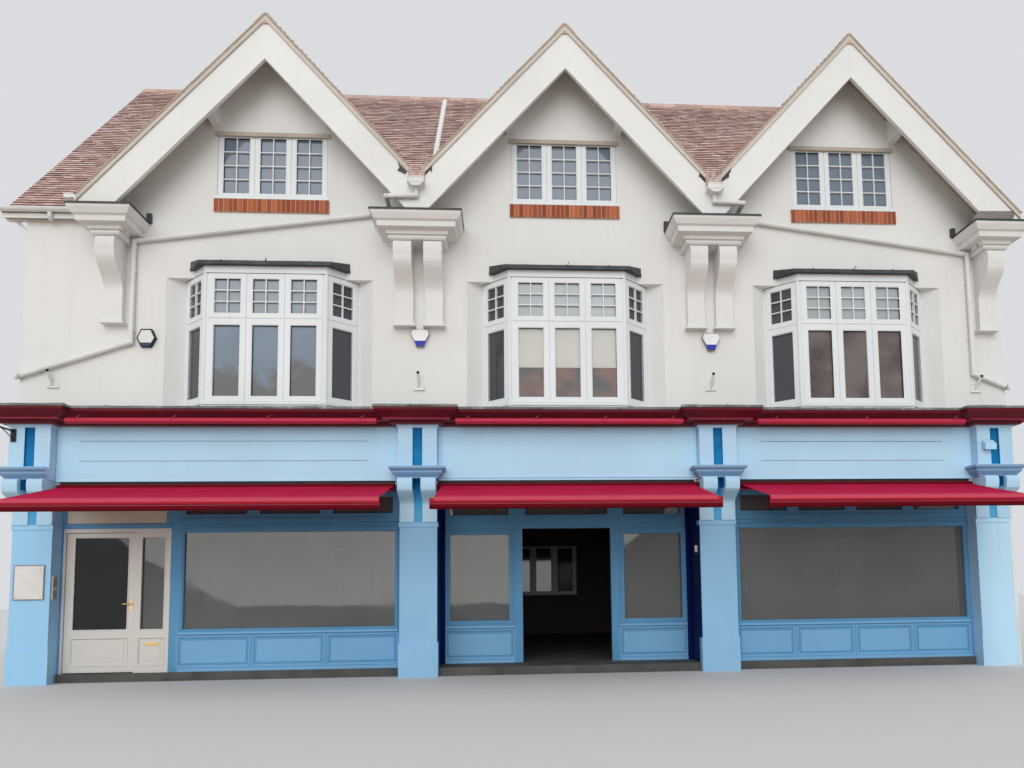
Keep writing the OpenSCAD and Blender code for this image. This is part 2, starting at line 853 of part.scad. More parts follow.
left_glass = [window_x0, bay_end(0) - post_w];
right_glass = [bay_start(2) + post_w + 30, bay_end(2) - post_w + 30];
lobby_l = bay_start(1);
lobby_r = bay_end(1);
doorway_l = (lobby_l + lobby_r) / 2 - doorway_w / 2;
doorway_r = doorway_l + doorway_w;
middle_left_glass = [lobby_l + post_w, doorway_l - 1.8 * post_w];
middle_right_glass = [doorway_r + 1.8 * post_w, lobby_r - post_w];
function lights_of(side) =
    side == 0 ? parts(left_glass[0] - 40, left_glass[1], 3, post_w)
    : side == 2 ? parts(right_glass[0], right_glass[1], 4, post_w)
    : concat([middle_left_glass], [[doorway_l, doorway_r]], [middle_right_glass]);
module left_shopfront() {
    x0 = bay_start(0);
    color(shop_blue)
        difference() {
            front_panel(x0, bay_end(0), front_in,
                [[left_glass[0], left_glass[1], glass_z, glass_top],
                    [x0 + door_edge, door_frame_x1, shop_floor_z - 1, door_frame_top]],
                parts(left_glass[0] - riser_side, left_glass[1] + 2 * riser_side / 3, 3, riser_gap),
                lights_of(0));
            box([door_x0, front_in - 1, door_panel_z], [door_post_x, front_in + panel_depth, transom_top]);
        }
}
module middle_shopfront() {
    color(shop_blue) {
        front_panel(lobby_l, lobby_r, lobby_in,
            [[middle_left_glass[0], middle_left_glass[1], glass_z, glass_top],
                [middle_right_glass[0], middle_right_glass[1], glass_z, glass_top],
                [doorway_l, doorway_r, shop_floor_z - 1, doorway_top]],
            [for (g = [middle_left_glass, middle_right_glass])
                [g[0] - riser_side / 2, g[1] + riser_side / 2]],
            lights_of(1));
        for (s = [0, 1])
            box([s == 0 ? lobby_l - lining_t : lobby_r, wall_t, shop_floor_z],
                [s == 0 ? lobby_l : lobby_r + lining_t, lobby_in + frame_t, beam_z]);
        box([lobby_l - lining_t, wall_t, beam_z],
            [lobby_r + lining_t, lobby_in + frame_t, beam_z + lining_t]);
    }
}
module right_shopfront() {
    color(shop_blue)
        front_panel(bay_start(2), bay_end(2), front_in,
            [[right_glass[0], right_glass[1], glass_z, glass_top]],
            parts(right_glass[0] - riser_side, right_glass[1] + riser_side / 3, 4, riser_gap),
            lights_of(2));
}
module shop_glass() {
    mid = (frame_t - pane_t) / 2;
    color(glass_blue) {
        for (g = [[left_glass, front_in], [right_glass, front_in],
                [middle_left_glass, lobby_in], [middle_right_glass, lobby_in]])
            box([g[0][0], g[1] + mid, glass_z], [g[0][1], g[1] + mid + pane_t, glass_top]);
        box([sidelight_x, front_in + mid, sidelight_z],
            [door_post_x, front_in + mid + pane_t, leaf_glass_top]);
        for (side = [0 : 2], t = lights_of(side)) {
            y = (side == 1 ? lobby_in : front_in) + mid;
            box([t[0], y, transom_z], [t[1], y + pane_t, transom_top]);
        }
    }
}
module doorsteps() {
    color(stone_grey)
        for (i = [0 : 2])
            box([bay_start(i) + plinth_out, i == 1 ? -40 : 70, 0],
                [bay_end(i) - plinth_out, wall_t, shop_floor_z]);
}

// Awnings: cloth between a roller box on the wall and a front bar, and the folding arms under it
awning_front = -fascia_out - awning_reach;
awning_front_z = awning_top_z - awning_fall;
roller_y = -fascia_out - roller_out;
roller_back = beam_y + roller_out / 2;
roller_top = beam_z;
awning_slope = awning_fall / (roller_y - awning_front);
function cloth_z(y) = awning_front_z + awning_slope * (y - awning_front);
function gap_of(i) = i == 1 ? middle_awning_gap : awning_gap;
function cloth_in_of(i) = i == 1 ? middle_cloth_in : cloth_in;
function awning_x0(i) = bay_start(i) + gap_of(i);
function awning_x1(i) = bay_end(i) - gap_of(i);
module awnings() {
    y1 = awning_front + bar_d * 0.7;
    color(crimson)
        for (i = [0 : 2])
            along_x(awning_x0(i) + cloth_in_of(i), awning_x1(i) - cloth_in_of(i))
                polygon([
                    [roller_y, cloth_z(roller_y)], [y1, cloth_z(y1)],
                    [y1, cloth_z(y1) - cloth_t], [roller_y, cloth_z(roller_y) - cloth_t]
                ]);
}
module bar_outline() {
    y = awning_front;
    y1 = y + bar_d * 0.7;
    top = cloth_z(y1) - cloth_t;
    low = awning_front_z - bar_h;
    polygon([
        [y + bar_d * 0.18, top], [y, top - bar_h * 0.1], [y, low + bar_h * 0.56], [y + bar_d * 0.16, low + bar_h * 0.5],
        [y, low + bar_h * 0.44], [y, low + bar_h * 0.1], [y + bar_d * 0.18, low], [y + bar_d * 0.75, low],
        [y + bar_d, low + bar_h * 0.12], [y + bar_d, top - bar_h * 0.1], [y1, top]
    ]);
}
module roller_outline() {
    edge = roller_h * 0.15;
    polygon([
        [roller_back, roller_top], [roller_y + edge, roller_top], [roller_y, roller_top - edge],
        [roller_y, roller_top - roller_h + edge], [roller_y + edge, roller_top - roller_h],
        [roller_back, roller_top - roller_h]
    ]);
}
module rod(a, b, r) {
    d = b - a;
    translate(a) rotate([0, acos(d[2] / norm(d)), atan2(d[1], d[0])]) cylinder(h = norm(d), r = r);
}
module awning_frames() {
    color(crimson)
        for (i = [0 : 2]) union() {
            along_x(awning_x0(i), awning_x1(i)) roller_outline();
            along_x(awning_x0(i), awning_x1(i)) bar_outline();
            for (s = [-1, 1]) {
                x = s < 0 ? awning_x0(i) + arm_in : awning_x1(i) - arm_in;
                root = [x, roller_y + arm_r, roller_top - roller_h * 0.7];
                tip = [x, awning_front + bar_d - arm_r, awning_front_z - bar_h / 2];
                elbow = (root + tip) / 2 + [-s * elbow_out, 0, -arm_r];
                rod(root, elbow, arm_r);
                rod(elbow, tip, arm_r);
                translate(elbow) sphere(arm_r * 1.3);
            }
        }
}

// Bay windows
bay_roof_in = bay_half_w - bay_front_half - bay_roof_side;
bay_plan = [
    [-bay_half_w, bay_set_back], [-bay_front_half, -bay_reach],
    [bay_front_half, -bay_reach], [bay_half_w, bay_set_back]
];
bay_side = bay_plan[1] - bay_plan[0];
bay_side_len = norm(bay_side);
bay_side_angle = atan2(bay_side[1], bay_side[0]);
// Places children on the three faces: x along the face from its middle, outer face at y = 0
module on_bay_front() {
    translate([0, -bay_reach, 0]) children();
}
module on_bay_sides() {
    mid = (bay_plan[0] + bay_plan[1]) / 2;
    for (s = [0, 1]) mirror([s, 0, 0])
        translate([mid[0], mid[1], 0]) rotate(bay_side_angle) children();
}
module bay_lights(y0, y1) {
    for (z = [[lower_light_z, lower_light_top], [upper_light_z, upper_light_top]]) {
        on_bay_front() for (i = [-1 : 1])
            box([i * light_pitch - light_w / 2, y0, z[0]], [i * light_pitch + light_w / 2, y1, z[1]]);
        on_bay_sides()
            box([-side_light_w / 2, y0, z[0]], [side_light_w / 2, y1, z[1]]);
    }
}
bay_inner = [
    [-bay_half_w + bay_frame_t, wall_t],
    [-bay_half_w + bay_frame_t,
        bay_set_back + bay_frame_t * (1 + sin(bay_side_angle)) / cos(bay_side_angle)],
    [-bay_front_half - bay_frame_t * (1 - cos(bay_side_angle)) / sin(bay_side_angle),
        -bay_reach + bay_frame_t]
];
module bay_roof_outline(out) {
    polygon([
        [-bay_half_w + bay_roof_in - out, 0], [-bay_front_half - out, -bay_reach - out],
        [bay_front_half + out, -bay_reach - out], [bay_half_w - bay_roof_in + out, 0]
    ]);
}
module bay_window() {
    jamb_y = wall_t - frame_t / 2;
    corner = [bay_joint, 0];
    translate([0, 0, bay_head_z + bay_joint])
        linear_extrude(bay_fascia_h - bay_joint) bay_roof_outline(10);
    difference() {
        translate([0, 0, cornice_lead_top]) linear_extrude(bay_head_z - cornice_lead_top) {
            polygon([bay_plan[1], bay_plan[2], [-bay_inner[2][0], bay_inner[2][1]], bay_inner[2]]);
            for (s = [0, 1]) mirror([s, 0])
                polygon([
                    [-bay_half_w, jamb_y], bay_plan[0], bay_plan[1] - corner, bay_inner[2] - corner,
                    bay_inner[1], [bay_inner[0][0], jamb_y]
                ]);
        }
        bay_lights(-2 * bay_frame_t, 2 * bay_frame_t);
    }
}
module bay_windows() {
    color(paint_white)
        for (x = gable_x) translate([x, 0, 0]) bay_window();
}
module window_blinds() {
    color([0.80, 0.74, 0.62])
        for (i = [-1 : 1])
            translate([gable_x[1] + i * light_pitch, -bay_reach + bay_frame_t, 0])
                box([-light_w / 2 - 30, 0, blind_z], [light_w / 2 + 30, 4, upper_light_top + 40]);
}

// Attic windows, plain windows and the panes of all upper windows
module attic_windows() {
    color(paint_white) at_front_attic_windows() window_frame(attic_win_w, attic_win_h);
}
module plain_windows() {
    color(paint_white) {
        at_plain_windows() window_frame(attic_win_w, plain_win_h);
        at_end_attic_windows() window_frame(attic_win_w, attic_win_h);
    }
}
module window_glass() {
    mid = (bay_frame_t - pane_t) / 2;
    color(glass_blue) {
        at_front_attic_windows() window_panes(attic_win_w, attic_win_h);
        at_end_attic_windows() window_panes(attic_win_w, attic_win_h);
        at_plain_windows() window_panes(attic_win_w, plain_win_h);
        for (x = gable_x) translate([x, 0, 0]) bay_lights(mid, mid + pane_t);
    }
}
module brick_sills() {
    half = attic_win_w / 2 + brick_sill_side;
    color(brick_orange)
        for (x = gable_x)
            box([x - half, -band_out, attic_win_z - 20 - brick_sill_h], [x + half, 0, attic_win_z - 20]);
}
module window_hoods() {
    half = attic_win_w / 2 + brick_sill_side;
    z = hood_z;
    color(paint_white)
        for (x = gable_x) box([x - half, -band_out, z], [x + half, 0, z + hood_h]);
}

// Big brackets, the moulded blocks on them and their lead
module wall_consoles() {
    color(paint_white)
        for (i = [0 : 3], s = is_pair(i) ? [-0.5, 0.5] : [0])
            translate([bracket_x[i] + s * console_pitch, 0, 0]) union() {
                s_bracket(console_w, console_z, console_h, console_foot, console_top, 0.5, 0.1);
                box([-console_w / 2 - console_plate, -console_foot - console_plate, console_z],
                    [console_w / 2 + console_plate, 0, console_z + console_plate]);
            }
}
function block_profile() = let (r = block_over) [
    [0, block_z], [r * 0.08, block_z + block_h * 0.06], [r * 0.08, block_z + block_h * 0.14],
    [r * 0.02, block_z + block_h * 0.16], [r * 0.02, block_z + block_h * 0.36],
    [r * 0.62, block_z + block_h * 0.40], [r * 0.66, block_z + block_h * 0.62],
    [r * 0.80, block_z + block_h * 0.68], [r * 0.97, block_z + block_h * 0.90],
    [r, block_z + block_h]
];
module entablature_blocks() {
    low = block_h * 0.2;
    top = block_h * 0.38;
    color(paint_white)
        for (i = [0 : 3]) translate([bracket_x[i], 0, block_z]) {
            half = console_half(i) + block_neck;
            count = is_pair(i) ? 4 : 3;
            front = -console_top - dentil_out;
            union() {
                translate([0, 0, -block_z]) returned_moulding(half, 0, block_profile(), console_top);
                for (k = [0 : count - 1])
                    translate([(k / (count - 1) - 0.5) * 2 * (half + dentil_out - dentil_w / 2), 0, 0])
                        box([-dentil_w / 2, front, low], [dentil_w / 2, -console_top + 10, top]);
                for (k = [0, 1])
                    translate([0, front + k * (-front - dentil_w) / 2, 0])
                        box([-half - dentil_out, 0, low], [half + dentil_out, dentil_w - 2, top]);
            }
        }
}
module lead_flats() {
    out = lead_out;
    color(lead_grey) {
        for (i = [0 : 3])
            box([bracket_x[i] - block_half(i) - out, -block_reach - out, block_top],
                [bracket_x[i] + block_half(i) + out, 0, lead_top]);
        for (x = gable_x) translate([x, 0, bay_head_z + bay_fascia_h])
            intersection() {
                linear_extrude(bay_roof_h + bay_roof_rise) bay_roof_outline(bay_roof_out);
                along_x(-bay_half_w, bay_half_w)
                    polygon([
                        [-bay_reach - bay_roof_out, 0], [0, 0], [0, bay_roof_h + bay_roof_rise],
                        [-bay_reach - bay_roof_out, bay_roof_h]
                    ]);
            }
    }
}

// Barge boards: one sheet of woodwork over the three gables, its feet on the blocks
module barge_outline(drop) {
    for (x = gable_x)
        polygon([
            [x - gable_half_w, lead_top], [x - gable_half_w, gable_foot_z - drop],
            [x, gable_ridge_z - drop], [x + gable_half_w, gable_foot_z - drop],
            [x + gable_half_w, lead_top]
        ]);
}
module barge_boards() {
    top = gable_ridge_z - tile_edge_h - roof_joint;
    inner = gable_ridge_z - tile_edge_h - barge_h;
    reach_x = (inner - lead_top) / tp;
    color(paint_white)
        along_y(barge_y, -barge_reach)
            difference() {
                intersection() {
                    union() barge_outline(tile_edge_h + roof_joint);
                    union() {
                        for (x = gable_x)
                            polygon([[x - far, top - tp * far], [x, top], [x + far, top - tp * far]]);
                    }
                }
                for (x = gable_x)
                    polygon([[x - reach_x, lead_top], [x, inner], [x + reach_x, lead_top]]);
                for (x = gable_x)
                    polygon([[x - reach_x, lead_top + 1], [x + reach_x, lead_top + 1],
                        [x + reach_x, lead_top - 1], [x - reach_x, lead_top - 1]]);
            }
}
module purlin_ends() {
    color(paint_white)
        intersection() {
            for (x = gable_x, s = [-1, 1])
                box([x + s * purlin_x - purlin_w / 2, -barge_reach, purlin_z],
                    [x + s * purlin_x + purlin_w / 2, 0, gable_ridge_z]);
            under_gables(roof_v, -barge_reach, 0);
        }
}

// Roofs, cut back over the lead of the blocks
module over_blocks() {
    for (i = [0 : 3])
        box([bracket_x[i] - block_half(i) - lead_out, -far, 0],
            [bracket_x[i] + block_half(i) + lead_out, 0, lead_top]);
}
module gable_roofs() {
    color(tile_red)
        difference() {
            union() {
                difference() {
                    under_gables(0, -barge_reach, ridge_y);
                    under_gables(roof_v, -barge_reach - 1, ridge_y + 1);
                }
                difference() {
                    under_gables(0, tile_y, -barge_reach + 1);
                    under_gables(tile_edge_h, tile_y - 1, -barge_reach + 2);
                }
            }
            under_main(roof_v);
            over_blocks();
            // Room for the timbers under the verges
            for (x = [verge_l - 1, wall_r], y = [0, house_depth - outrigger_w])
                box([x, y - roof_joint, 0],
                    [x + verge_overhang + 1, y + outrigger_w + roof_joint, eaves_soffit_z]);
        }
}
module main_roof() {
    difference() {
        under_main(0);
        under_main(roof_v, verge_l - 1, verge_r + 1);
        under_gables(0, -far, ridge_y);
        // Level soffits outside the walls
        for (y = [-eaves_overhang - 1, house_depth])
            box([verge_l - 1, y, 0], [verge_r + 1, y + eaves_overhang + 1, eaves_soffit_z]);
        for (x = [verge_l - 1, wall_r], y = [-eaves_overhang - 1, house_depth - outrigger_w])
            box([x, y, 0], [x + verge_overhang + 1, y + eaves_overhang + outrigger_w + 1, eaves_soffit_z]);
    }
}
module main_roof_front() {
    color(tile_red)
        difference() {
            main_roof();
            box([-far, ridge_y, 0], [far, far, far]);
            over_blocks();
        }
}
module main_roof_back() {
    color(tile_red)
        difference() {
            main_roof();
            box([-far, -far, 0], [far, ridge_y, far]);
        }
}
module ridge_cap_outline(z) {
    bed = z + roof_joint;
    polygon([
        [-ridge_leg, bed - tp * ridge_leg], [0, bed], [ridge_leg, bed - tp * ridge_leg],
        [ridge_leg, z - tp * ridge_leg + ridge_t * 1.4], [ridge_leg * 0.2, z + ridge_t * 1.4 - 4],
        [-ridge_leg * 0.2, z + ridge_t * 1.4 - 4], [-ridge_leg, z - tp * ridge_leg + ridge_t * 1.4]
    ]);
}
module ridge_tiles() {
    color(tile_red) {
        along_x(verge_l, verge_r) translate([ridge_y, 0]) ridge_cap_outline(ridge_z);
        difference() {
            for (x = gable_x)
                along_y(tile_y, ridge_y) translate([x, 0]) ridge_cap_outline(gable_ridge_z);
            under_main(0);
        }
    }
}

// Brackets under the roof's corners
module eaves_brackets() {
    reach = verge_overhang * 0.66;
    color(paint_white)
        for (e = [[wall_l, -1], [wall_r, 1]], y = [0, house_depth - outrigger_w])
            translate([e[0], y, 0]) mirror([e[1] < 0 ? 1 : 0, 0, 0])
                union() {
                    box([0, 0, eaves_z - outrigger_h],
                        [verge_overhang, outrigger_w, eaves_soffit_z - roof_joint]);
                    along_y((outrigger_w - strut_w) / 2, (outrigger_w + strut_w) / 2)
                        polygon([
                            [0, eaves_z - strut_drop], [0, eaves_z - strut_drop + strut_h],
                            [reach - 1.1 * strut_h, eaves_z - outrigger_h],
                            [reach, eaves_z - outrigger_h]
                        ]);
                }
}

// Gutters and rainwater pipes
module gutter(x0, x1) {
    along_x(x0, x1)
        translate([-eaves_overhang - gutter_r - gutter_gap, eaves_z - gutter_drop + gutter_lift])
            union() {
                difference() {
                    circle(gutter_r);
                    circle(gutter_r - gutter_t);
                    translate([-far, 0]) square([2 * far, far]);
                }
                translate([gutter_r - gutter_t, -gutter_r - gutter_lift])
                    square([gutter_gap + gutter_t, gutter_r + gutter_lift]);
            }
}
module gutters() {
    color(paint_white) {
        gutter(verge_l, bracket_x[0] - block_half(0) - lead_out - gutter_drop);
        if (bracket_x[3] + block_half(3) + lead_out + gutter_drop < verge_r)
            gutter(bracket_x[3] + block_half(3) + lead_out + gutter_drop, verge_r);
        translate([0, house_depth, 0]) mirror([0, 1, 0]) gutter(verge_l, verge_r);
    }
}
module pipe_run(pts) {
    for (i = [0 : len(pts) - 2]) {
        d = pts[i + 1] - pts[i];
        translate(pts[i])
            rotate([0, acos(d[2] / norm(d)), atan2(d[1], d[0])]) cylinder(h = norm(d), r = pipe_r);
    }
    for (i = [1 : len(pts) - 2]) translate(pts[i]) sphere(pipe_r + 4);
}
// One run, drawn for the left; s = 1 gives the right-hand one
module pipe_side(s) {
    hopper_x = bracket_x[s == 0 ? 1 : 2];
    hopper_top = valley_z - tile_edge_h - 1;
    hopper_z = hopper_top - hopper_h;
    dir = s == 0 ? -1 : 1;
    front = barge_y - pipe_r - pipe_clear;
    wall_y = -pipe_out;
    down_x = bracket_x[s == 0 ? 0 : 3]
        - dir * (console_w / 2 + block_neck + block_over * 0.08 + pipe_r + pipe_clear);
    bend_z = s == 0 ? left_bend_z : right_bend_z;
    end_z = s == 0 ? left_pipe_end_z : right_pipe_end_z;
    corner = s == 0 ? wall_l : wall_r;
    swan_x = hopper_x + dir * swan_out;
    along_y(barge_y - hopper_d, barge_y)
        polygon([
            [hopper_x - hopper_w / 2, hopper_top], [hopper_x + hopper_w / 2, hopper_top],
            [hopper_x + hopper_w / 2, hopper_top - hopper_h * 0.6], [hopper_x + pipe_r * 1.3, hopper_z],
            [hopper_x - pipe_r * 1.3, hopper_z], [hopper_x - hopper_w / 2, hopper_top - hopper_h * 0.6]
        ]);
    pipe_run([
        [hopper_x, front, hopper_z + 1], [hopper_x, front, hopper_z - outlet_fall],
        [swan_x, front, hopper_z - outlet_fall - pipe_r / 2], [swan_x, wall_y, hopper_z - outlet_fall - pipe_r],
        [down_x, wall_y, block_z + pipe_out], [down_x, wall_y, bend_z],
        [corner + dir * pipe_r, wall_y, end_z]
    ]);
}
module rainwater_pipes() {
    color(paint_white) for (s = [0, 1]) pipe_side(s);
}

// Small things on the walls: alarm boxes, pole sockets, plate, call box, floodlight, sign arm
module wall_fittings() {
    r = alarm_w / 2;
    color(paint_white) {
        for (i = [1, 2])
            translate([bracket_x[i], 0, console_z - alarm_drop - alarm_w])
                along_y(-alarm_t, 0)
                    polygon([
                        [-r * 0.45, 0], [r * 0.45, 0], [r * 0.6, r * 0.2], [r, r * 1.4],
                        [r * 0.9, alarm_w], [-r * 0.9, alarm_w], [-r, r * 1.4], [-r * 0.6, r * 0.2]
                    ]);
        translate([bracket_x[0] + hex_in, 0, console_z - alarm_drop - r])
            rotate([90, 0, 0]) cylinder(r = r * 1.05, h = alarm_t, $fn = 6);
        for (x = pier_x)
            translate([x, 0, socket_z]) union() {
                box([-socket_plate / 2, -plate_t, -socket_plate], [socket_plate / 2, 0, socket_plate * 0.6]);
                intersection() {
                    translate([0, socket_r, -socket_plate / 2]) rotate([50, 0, 0]) cylinder(r = socket_r, h = socket_len + 2 * socket_r);
                    box([-far, -far, -far], [far, 0, far]);
                }
            }
        box([pier_x[0] - plaque_w / 2, -pier_out - plate_t, plaque_z],
            [pier_x[0] + plaque_w / 2, -pier_out, plaque_z + plaque_h]);
        box([bay_start(0), -call_w / 2, plaque_z - plate_t],
            [bay_start(0) + call_t, call_w / 2, plaque_z - plate_t + call_h]);
        translate([pier_x[3] - strips_half + strip_w * 0.75, -head_out, abacus_z + abacus_h * 2.4])
            along_x(-strip_w * 0.25, strip_w * 0.25)
                polygon([[0, 0], [-flood_out * 0.4, 0], [-flood_out, flood_out], [0, flood_out * 1.5]]);
        translate([pier_x[0] - (strip_gap + strip_w) / 2, -head_out, sign_arm_z])
            union() {
                box([-sign_plate / 4, -plate_t, -sign_plate], [sign_plate / 4, 0, plate_t]);
                box([-plate_t / 2, -sign_arm, -2 * plate_t], [plate_t / 2, 0, 0]);
            }
    }
}

// Side door: the frame with its sidelight, and the moving leaf with its pane and lever
module side_door_frame() {
    color(paint_white)
        difference() {
            box([bay_start(0) + door_edge, front_in, shop_floor_z],
                [door_frame_x1, front_in + frame_t, door_frame_top]);
            box([door_x0, front_in - 1, shop_floor_z - 1],
                [door_stop_x, front_in + frame_t + 1, door_head_z]);
            box([sidelight_x, front_in - 1, sidelight_z],
                [door_post_x, front_in + frame_t + 1, leaf_glass_top]);
            box([sidelight_x, front_in - 1, leaf_z0 + stile_w],
                [door_post_x, front_in + panel_depth, riser_z - riser_rail]);
        }
}
module door_leaf() {
    x1 = door_x0 + leaf_gap;
    color(paint_white)
        union() {
            difference() {
                box([x1, hinge_y - leaf_t, leaf_z0], [x1 + leaf_w, hinge_y, leaf_top]);
                box([x1 + stile_w, hinge_y - leaf_t - 1, leaf_glass_z],
                    [x1 + leaf_w - stile_w, hinge_y + 1, leaf_glass_top]);
                box([x1 + stile_w, hinge_y - leaf_t - 1, leaf_z0 + stile_w],
                    [x1 + leaf_w - stile_w, hinge_y - leaf_t + panel_depth, riser_z - riser_rail]);
            }
            for (z = [leaf_z0 + 2 * hinge_h, (leaf_z0 + leaf_top - hinge_h) / 2, leaf_top - 3 * hinge_h])
                translate([x1, hinge_y, z]) cylinder(r = leaf_gap - knuckle_gap, h = hinge_h);
        }
}
module door_glass() {
    x1 = door_x0 + leaf_gap;
    y = hinge_y - (leaf_t + pane_t) / 2;
    color(glass_blue)
        box([x1 + stile_w, y, leaf_glass_z], [x1 + leaf_w - stile_w, y + pane_t, leaf_glass_top]);
}
module door_handle() {
    x = door_x0 + leaf_gap + leaf_w - stile_w / 2;
    color(brass_gold)
        for (s = [0, 1])
            translate([x, s == 0 ? hinge_y - leaf_t : hinge_y, handle_z]) mirror([0, s, 0])
                union() {
                    box([-2 * lever_r, -handle_plate_t, -12 * lever_r], [2 * lever_r, 0, 6 * lever_r]);
                    rotate([90, 0, 0]) cylinder(r = lever_r, h = lever_out);
                    translate([lever_r, -lever_out, 0])
                        rotate([0, -90, 0]) cylinder(r = lever_r + 1, h = lever_len);
                }
}

translate(-centre) {
    ground_floor();
    upper_floors();
    left_wall();
    right_wall();
    back_wall();
    front_wall();
    shop_beam();
    shop_piers();
    pier_heads();
    pier_consoles();
    shop_fascias();
    shop_cornice();
    cornice_lead();
    trough_lights();
    left_shopfront();
    middle_shopfront();
    right_shopfront();
    shop_glass();
    doorsteps();
    awnings();
    awning_frames();
    bay_windows();
    window_blinds();
    attic_windows();
    plain_windows();
    window_glass();
    brick_sills();
    window_hoods();
    wall_consoles();
    entablature_blocks();
    lead_flats();
    barge_boards();
    purlin_ends();
    gable_roofs();
    main_roof_front();
    main_roof_back();
    ridge_tiles();
    eaves_brackets();
    gutters();
    rainwater_pipes();
    wall_fittings();
    side_door_frame();
    door_leaf();
    door_glass();
    door_handle();
}
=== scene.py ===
import json
import math
import random
import bmesh
import bpy
from mathutils import Matrix, Vector, noise

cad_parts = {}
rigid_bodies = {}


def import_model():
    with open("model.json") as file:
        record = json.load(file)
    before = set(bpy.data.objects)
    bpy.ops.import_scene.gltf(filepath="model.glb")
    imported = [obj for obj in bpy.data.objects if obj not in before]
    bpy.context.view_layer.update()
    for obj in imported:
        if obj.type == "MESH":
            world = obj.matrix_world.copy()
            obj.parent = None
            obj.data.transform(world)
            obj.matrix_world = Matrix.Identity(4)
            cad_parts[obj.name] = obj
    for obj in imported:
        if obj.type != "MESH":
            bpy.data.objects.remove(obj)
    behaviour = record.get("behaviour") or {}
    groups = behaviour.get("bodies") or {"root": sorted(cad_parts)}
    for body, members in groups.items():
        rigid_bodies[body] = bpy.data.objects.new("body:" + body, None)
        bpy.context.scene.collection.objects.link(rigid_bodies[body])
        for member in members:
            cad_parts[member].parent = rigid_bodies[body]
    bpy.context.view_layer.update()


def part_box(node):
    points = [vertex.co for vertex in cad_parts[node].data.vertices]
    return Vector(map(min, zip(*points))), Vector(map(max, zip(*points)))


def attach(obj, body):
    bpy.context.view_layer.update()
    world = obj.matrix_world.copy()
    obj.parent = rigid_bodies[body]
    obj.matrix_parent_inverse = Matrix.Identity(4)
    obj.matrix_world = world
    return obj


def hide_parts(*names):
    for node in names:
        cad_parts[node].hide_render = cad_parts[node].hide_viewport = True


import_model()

# Where the building's own axes lie: middle gable, wall face, ground
sill_lo, sill_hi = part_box("brick_sills")
ORIGIN = Vector(((sill_lo.x + sill_hi.x) / 2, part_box("front_wall")[0].y, 0))

# Camera, fitted to the photograph
FOCAL_PX = 800.018
IMAGE_W = 1024
IMAGE_H = 768
CENTRE_PX = (561.548, 515.9)
CAMERA_AT = Vector((-1.0097, -12.7416, 1.3569))
YAW = 0.0697
PITCH = 0.0886
ROLL = -0.0133

# Sizes of the building in metres, as in the part's source
SLOPE = math.radians(47.5)
TP = math.tan(SLOPE)
COS = math.cos(SLOPE)
SIN = math.sin(SLOPE)
GABLES = (-4.75, 0.0, 4.75)
BRACKETS = (-7.125, -2.375, 2.375, 7.125)
VERGE = (-8.85, 7.75)
DEPTH = 9.0
EAVES_Z = 7.3
EAVES_OUT = 0.12
RIDGE_Z = EAVES_Z + TP * (DEPTH / 2 + EAVES_OUT)
PITCH_HALF = 2.375
VALLEY_Z = 7.868
GABLE_Z = VALLEY_Z + TP * PITCH_HALF
GABLE_HALF = (GABLE_Z - 7.415) / TP
TILE_Y = -0.552
BARGE_Y = -0.527
UP = Vector((0, 0, 1))
WALL = (-8.53, 7.43)
PIERS = (-8.155, -2.375, 2.375, 6.98)
PIER_HALF = 0.29
BAY_HALF = 1.37
BAY_FRONT = 0.93
BAY_REACH = 0.23
BAY_BACK = 0.18
LIGHT_W = 0.395
SIDE_LIGHT_W = 0.36
LIGHT_PITCH = 0.588
CORNICE_TOP = 4.115
FASCIA_Y = -0.15
FRONT_Y = 0.12
LOBBY_Y = 0.6

# Places where a look changes: just inside the walls' plaster, at the bar across the bays, under the blinds
ROOM_X = (-8.21, 7.11)
ROOM_Y = (0.32, 8.68)
BAY_BAR_Z = 5.60
UNDER_BLINDS_Z = 4.862


def make_camera():
    flat = Vector((math.sin(YAW), math.cos(YAW), 0))
    ahead = flat * math.cos(PITCH) + UP * math.sin(PITCH)
    right0 = ahead.cross(UP).normalized()
    up0 = right0.cross(ahead)
    right = right0 * math.cos(ROLL) + up0 * math.sin(ROLL)
    above = up0 * math.cos(ROLL) - right0 * math.sin(ROLL)
    data = bpy.data.cameras.new("camera")
    data.sensor_width = 36
    data.sensor_fit = "HORIZONTAL"
    data.lens = FOCAL_PX * data.sensor_width / IMAGE_W
    data.shift_x = (IMAGE_W / 2 - CENTRE_PX[0]) / IMAGE_W
    data.shift_y = (CENTRE_PX[1] - IMAGE_H / 2) / IMAGE_W
    data.clip_end = 200
    camera = bpy.data.objects.new("camera", data)
    bpy.context.scene.collection.objects.link(camera)
    turn = Matrix((right, above, -ahead)).transposed()
    camera.matrix_world = Matrix.Translation(ORIGIN + CAMERA_AT) @ turn.to_4x4()
    bpy.context.scene.camera = camera


make_camera()


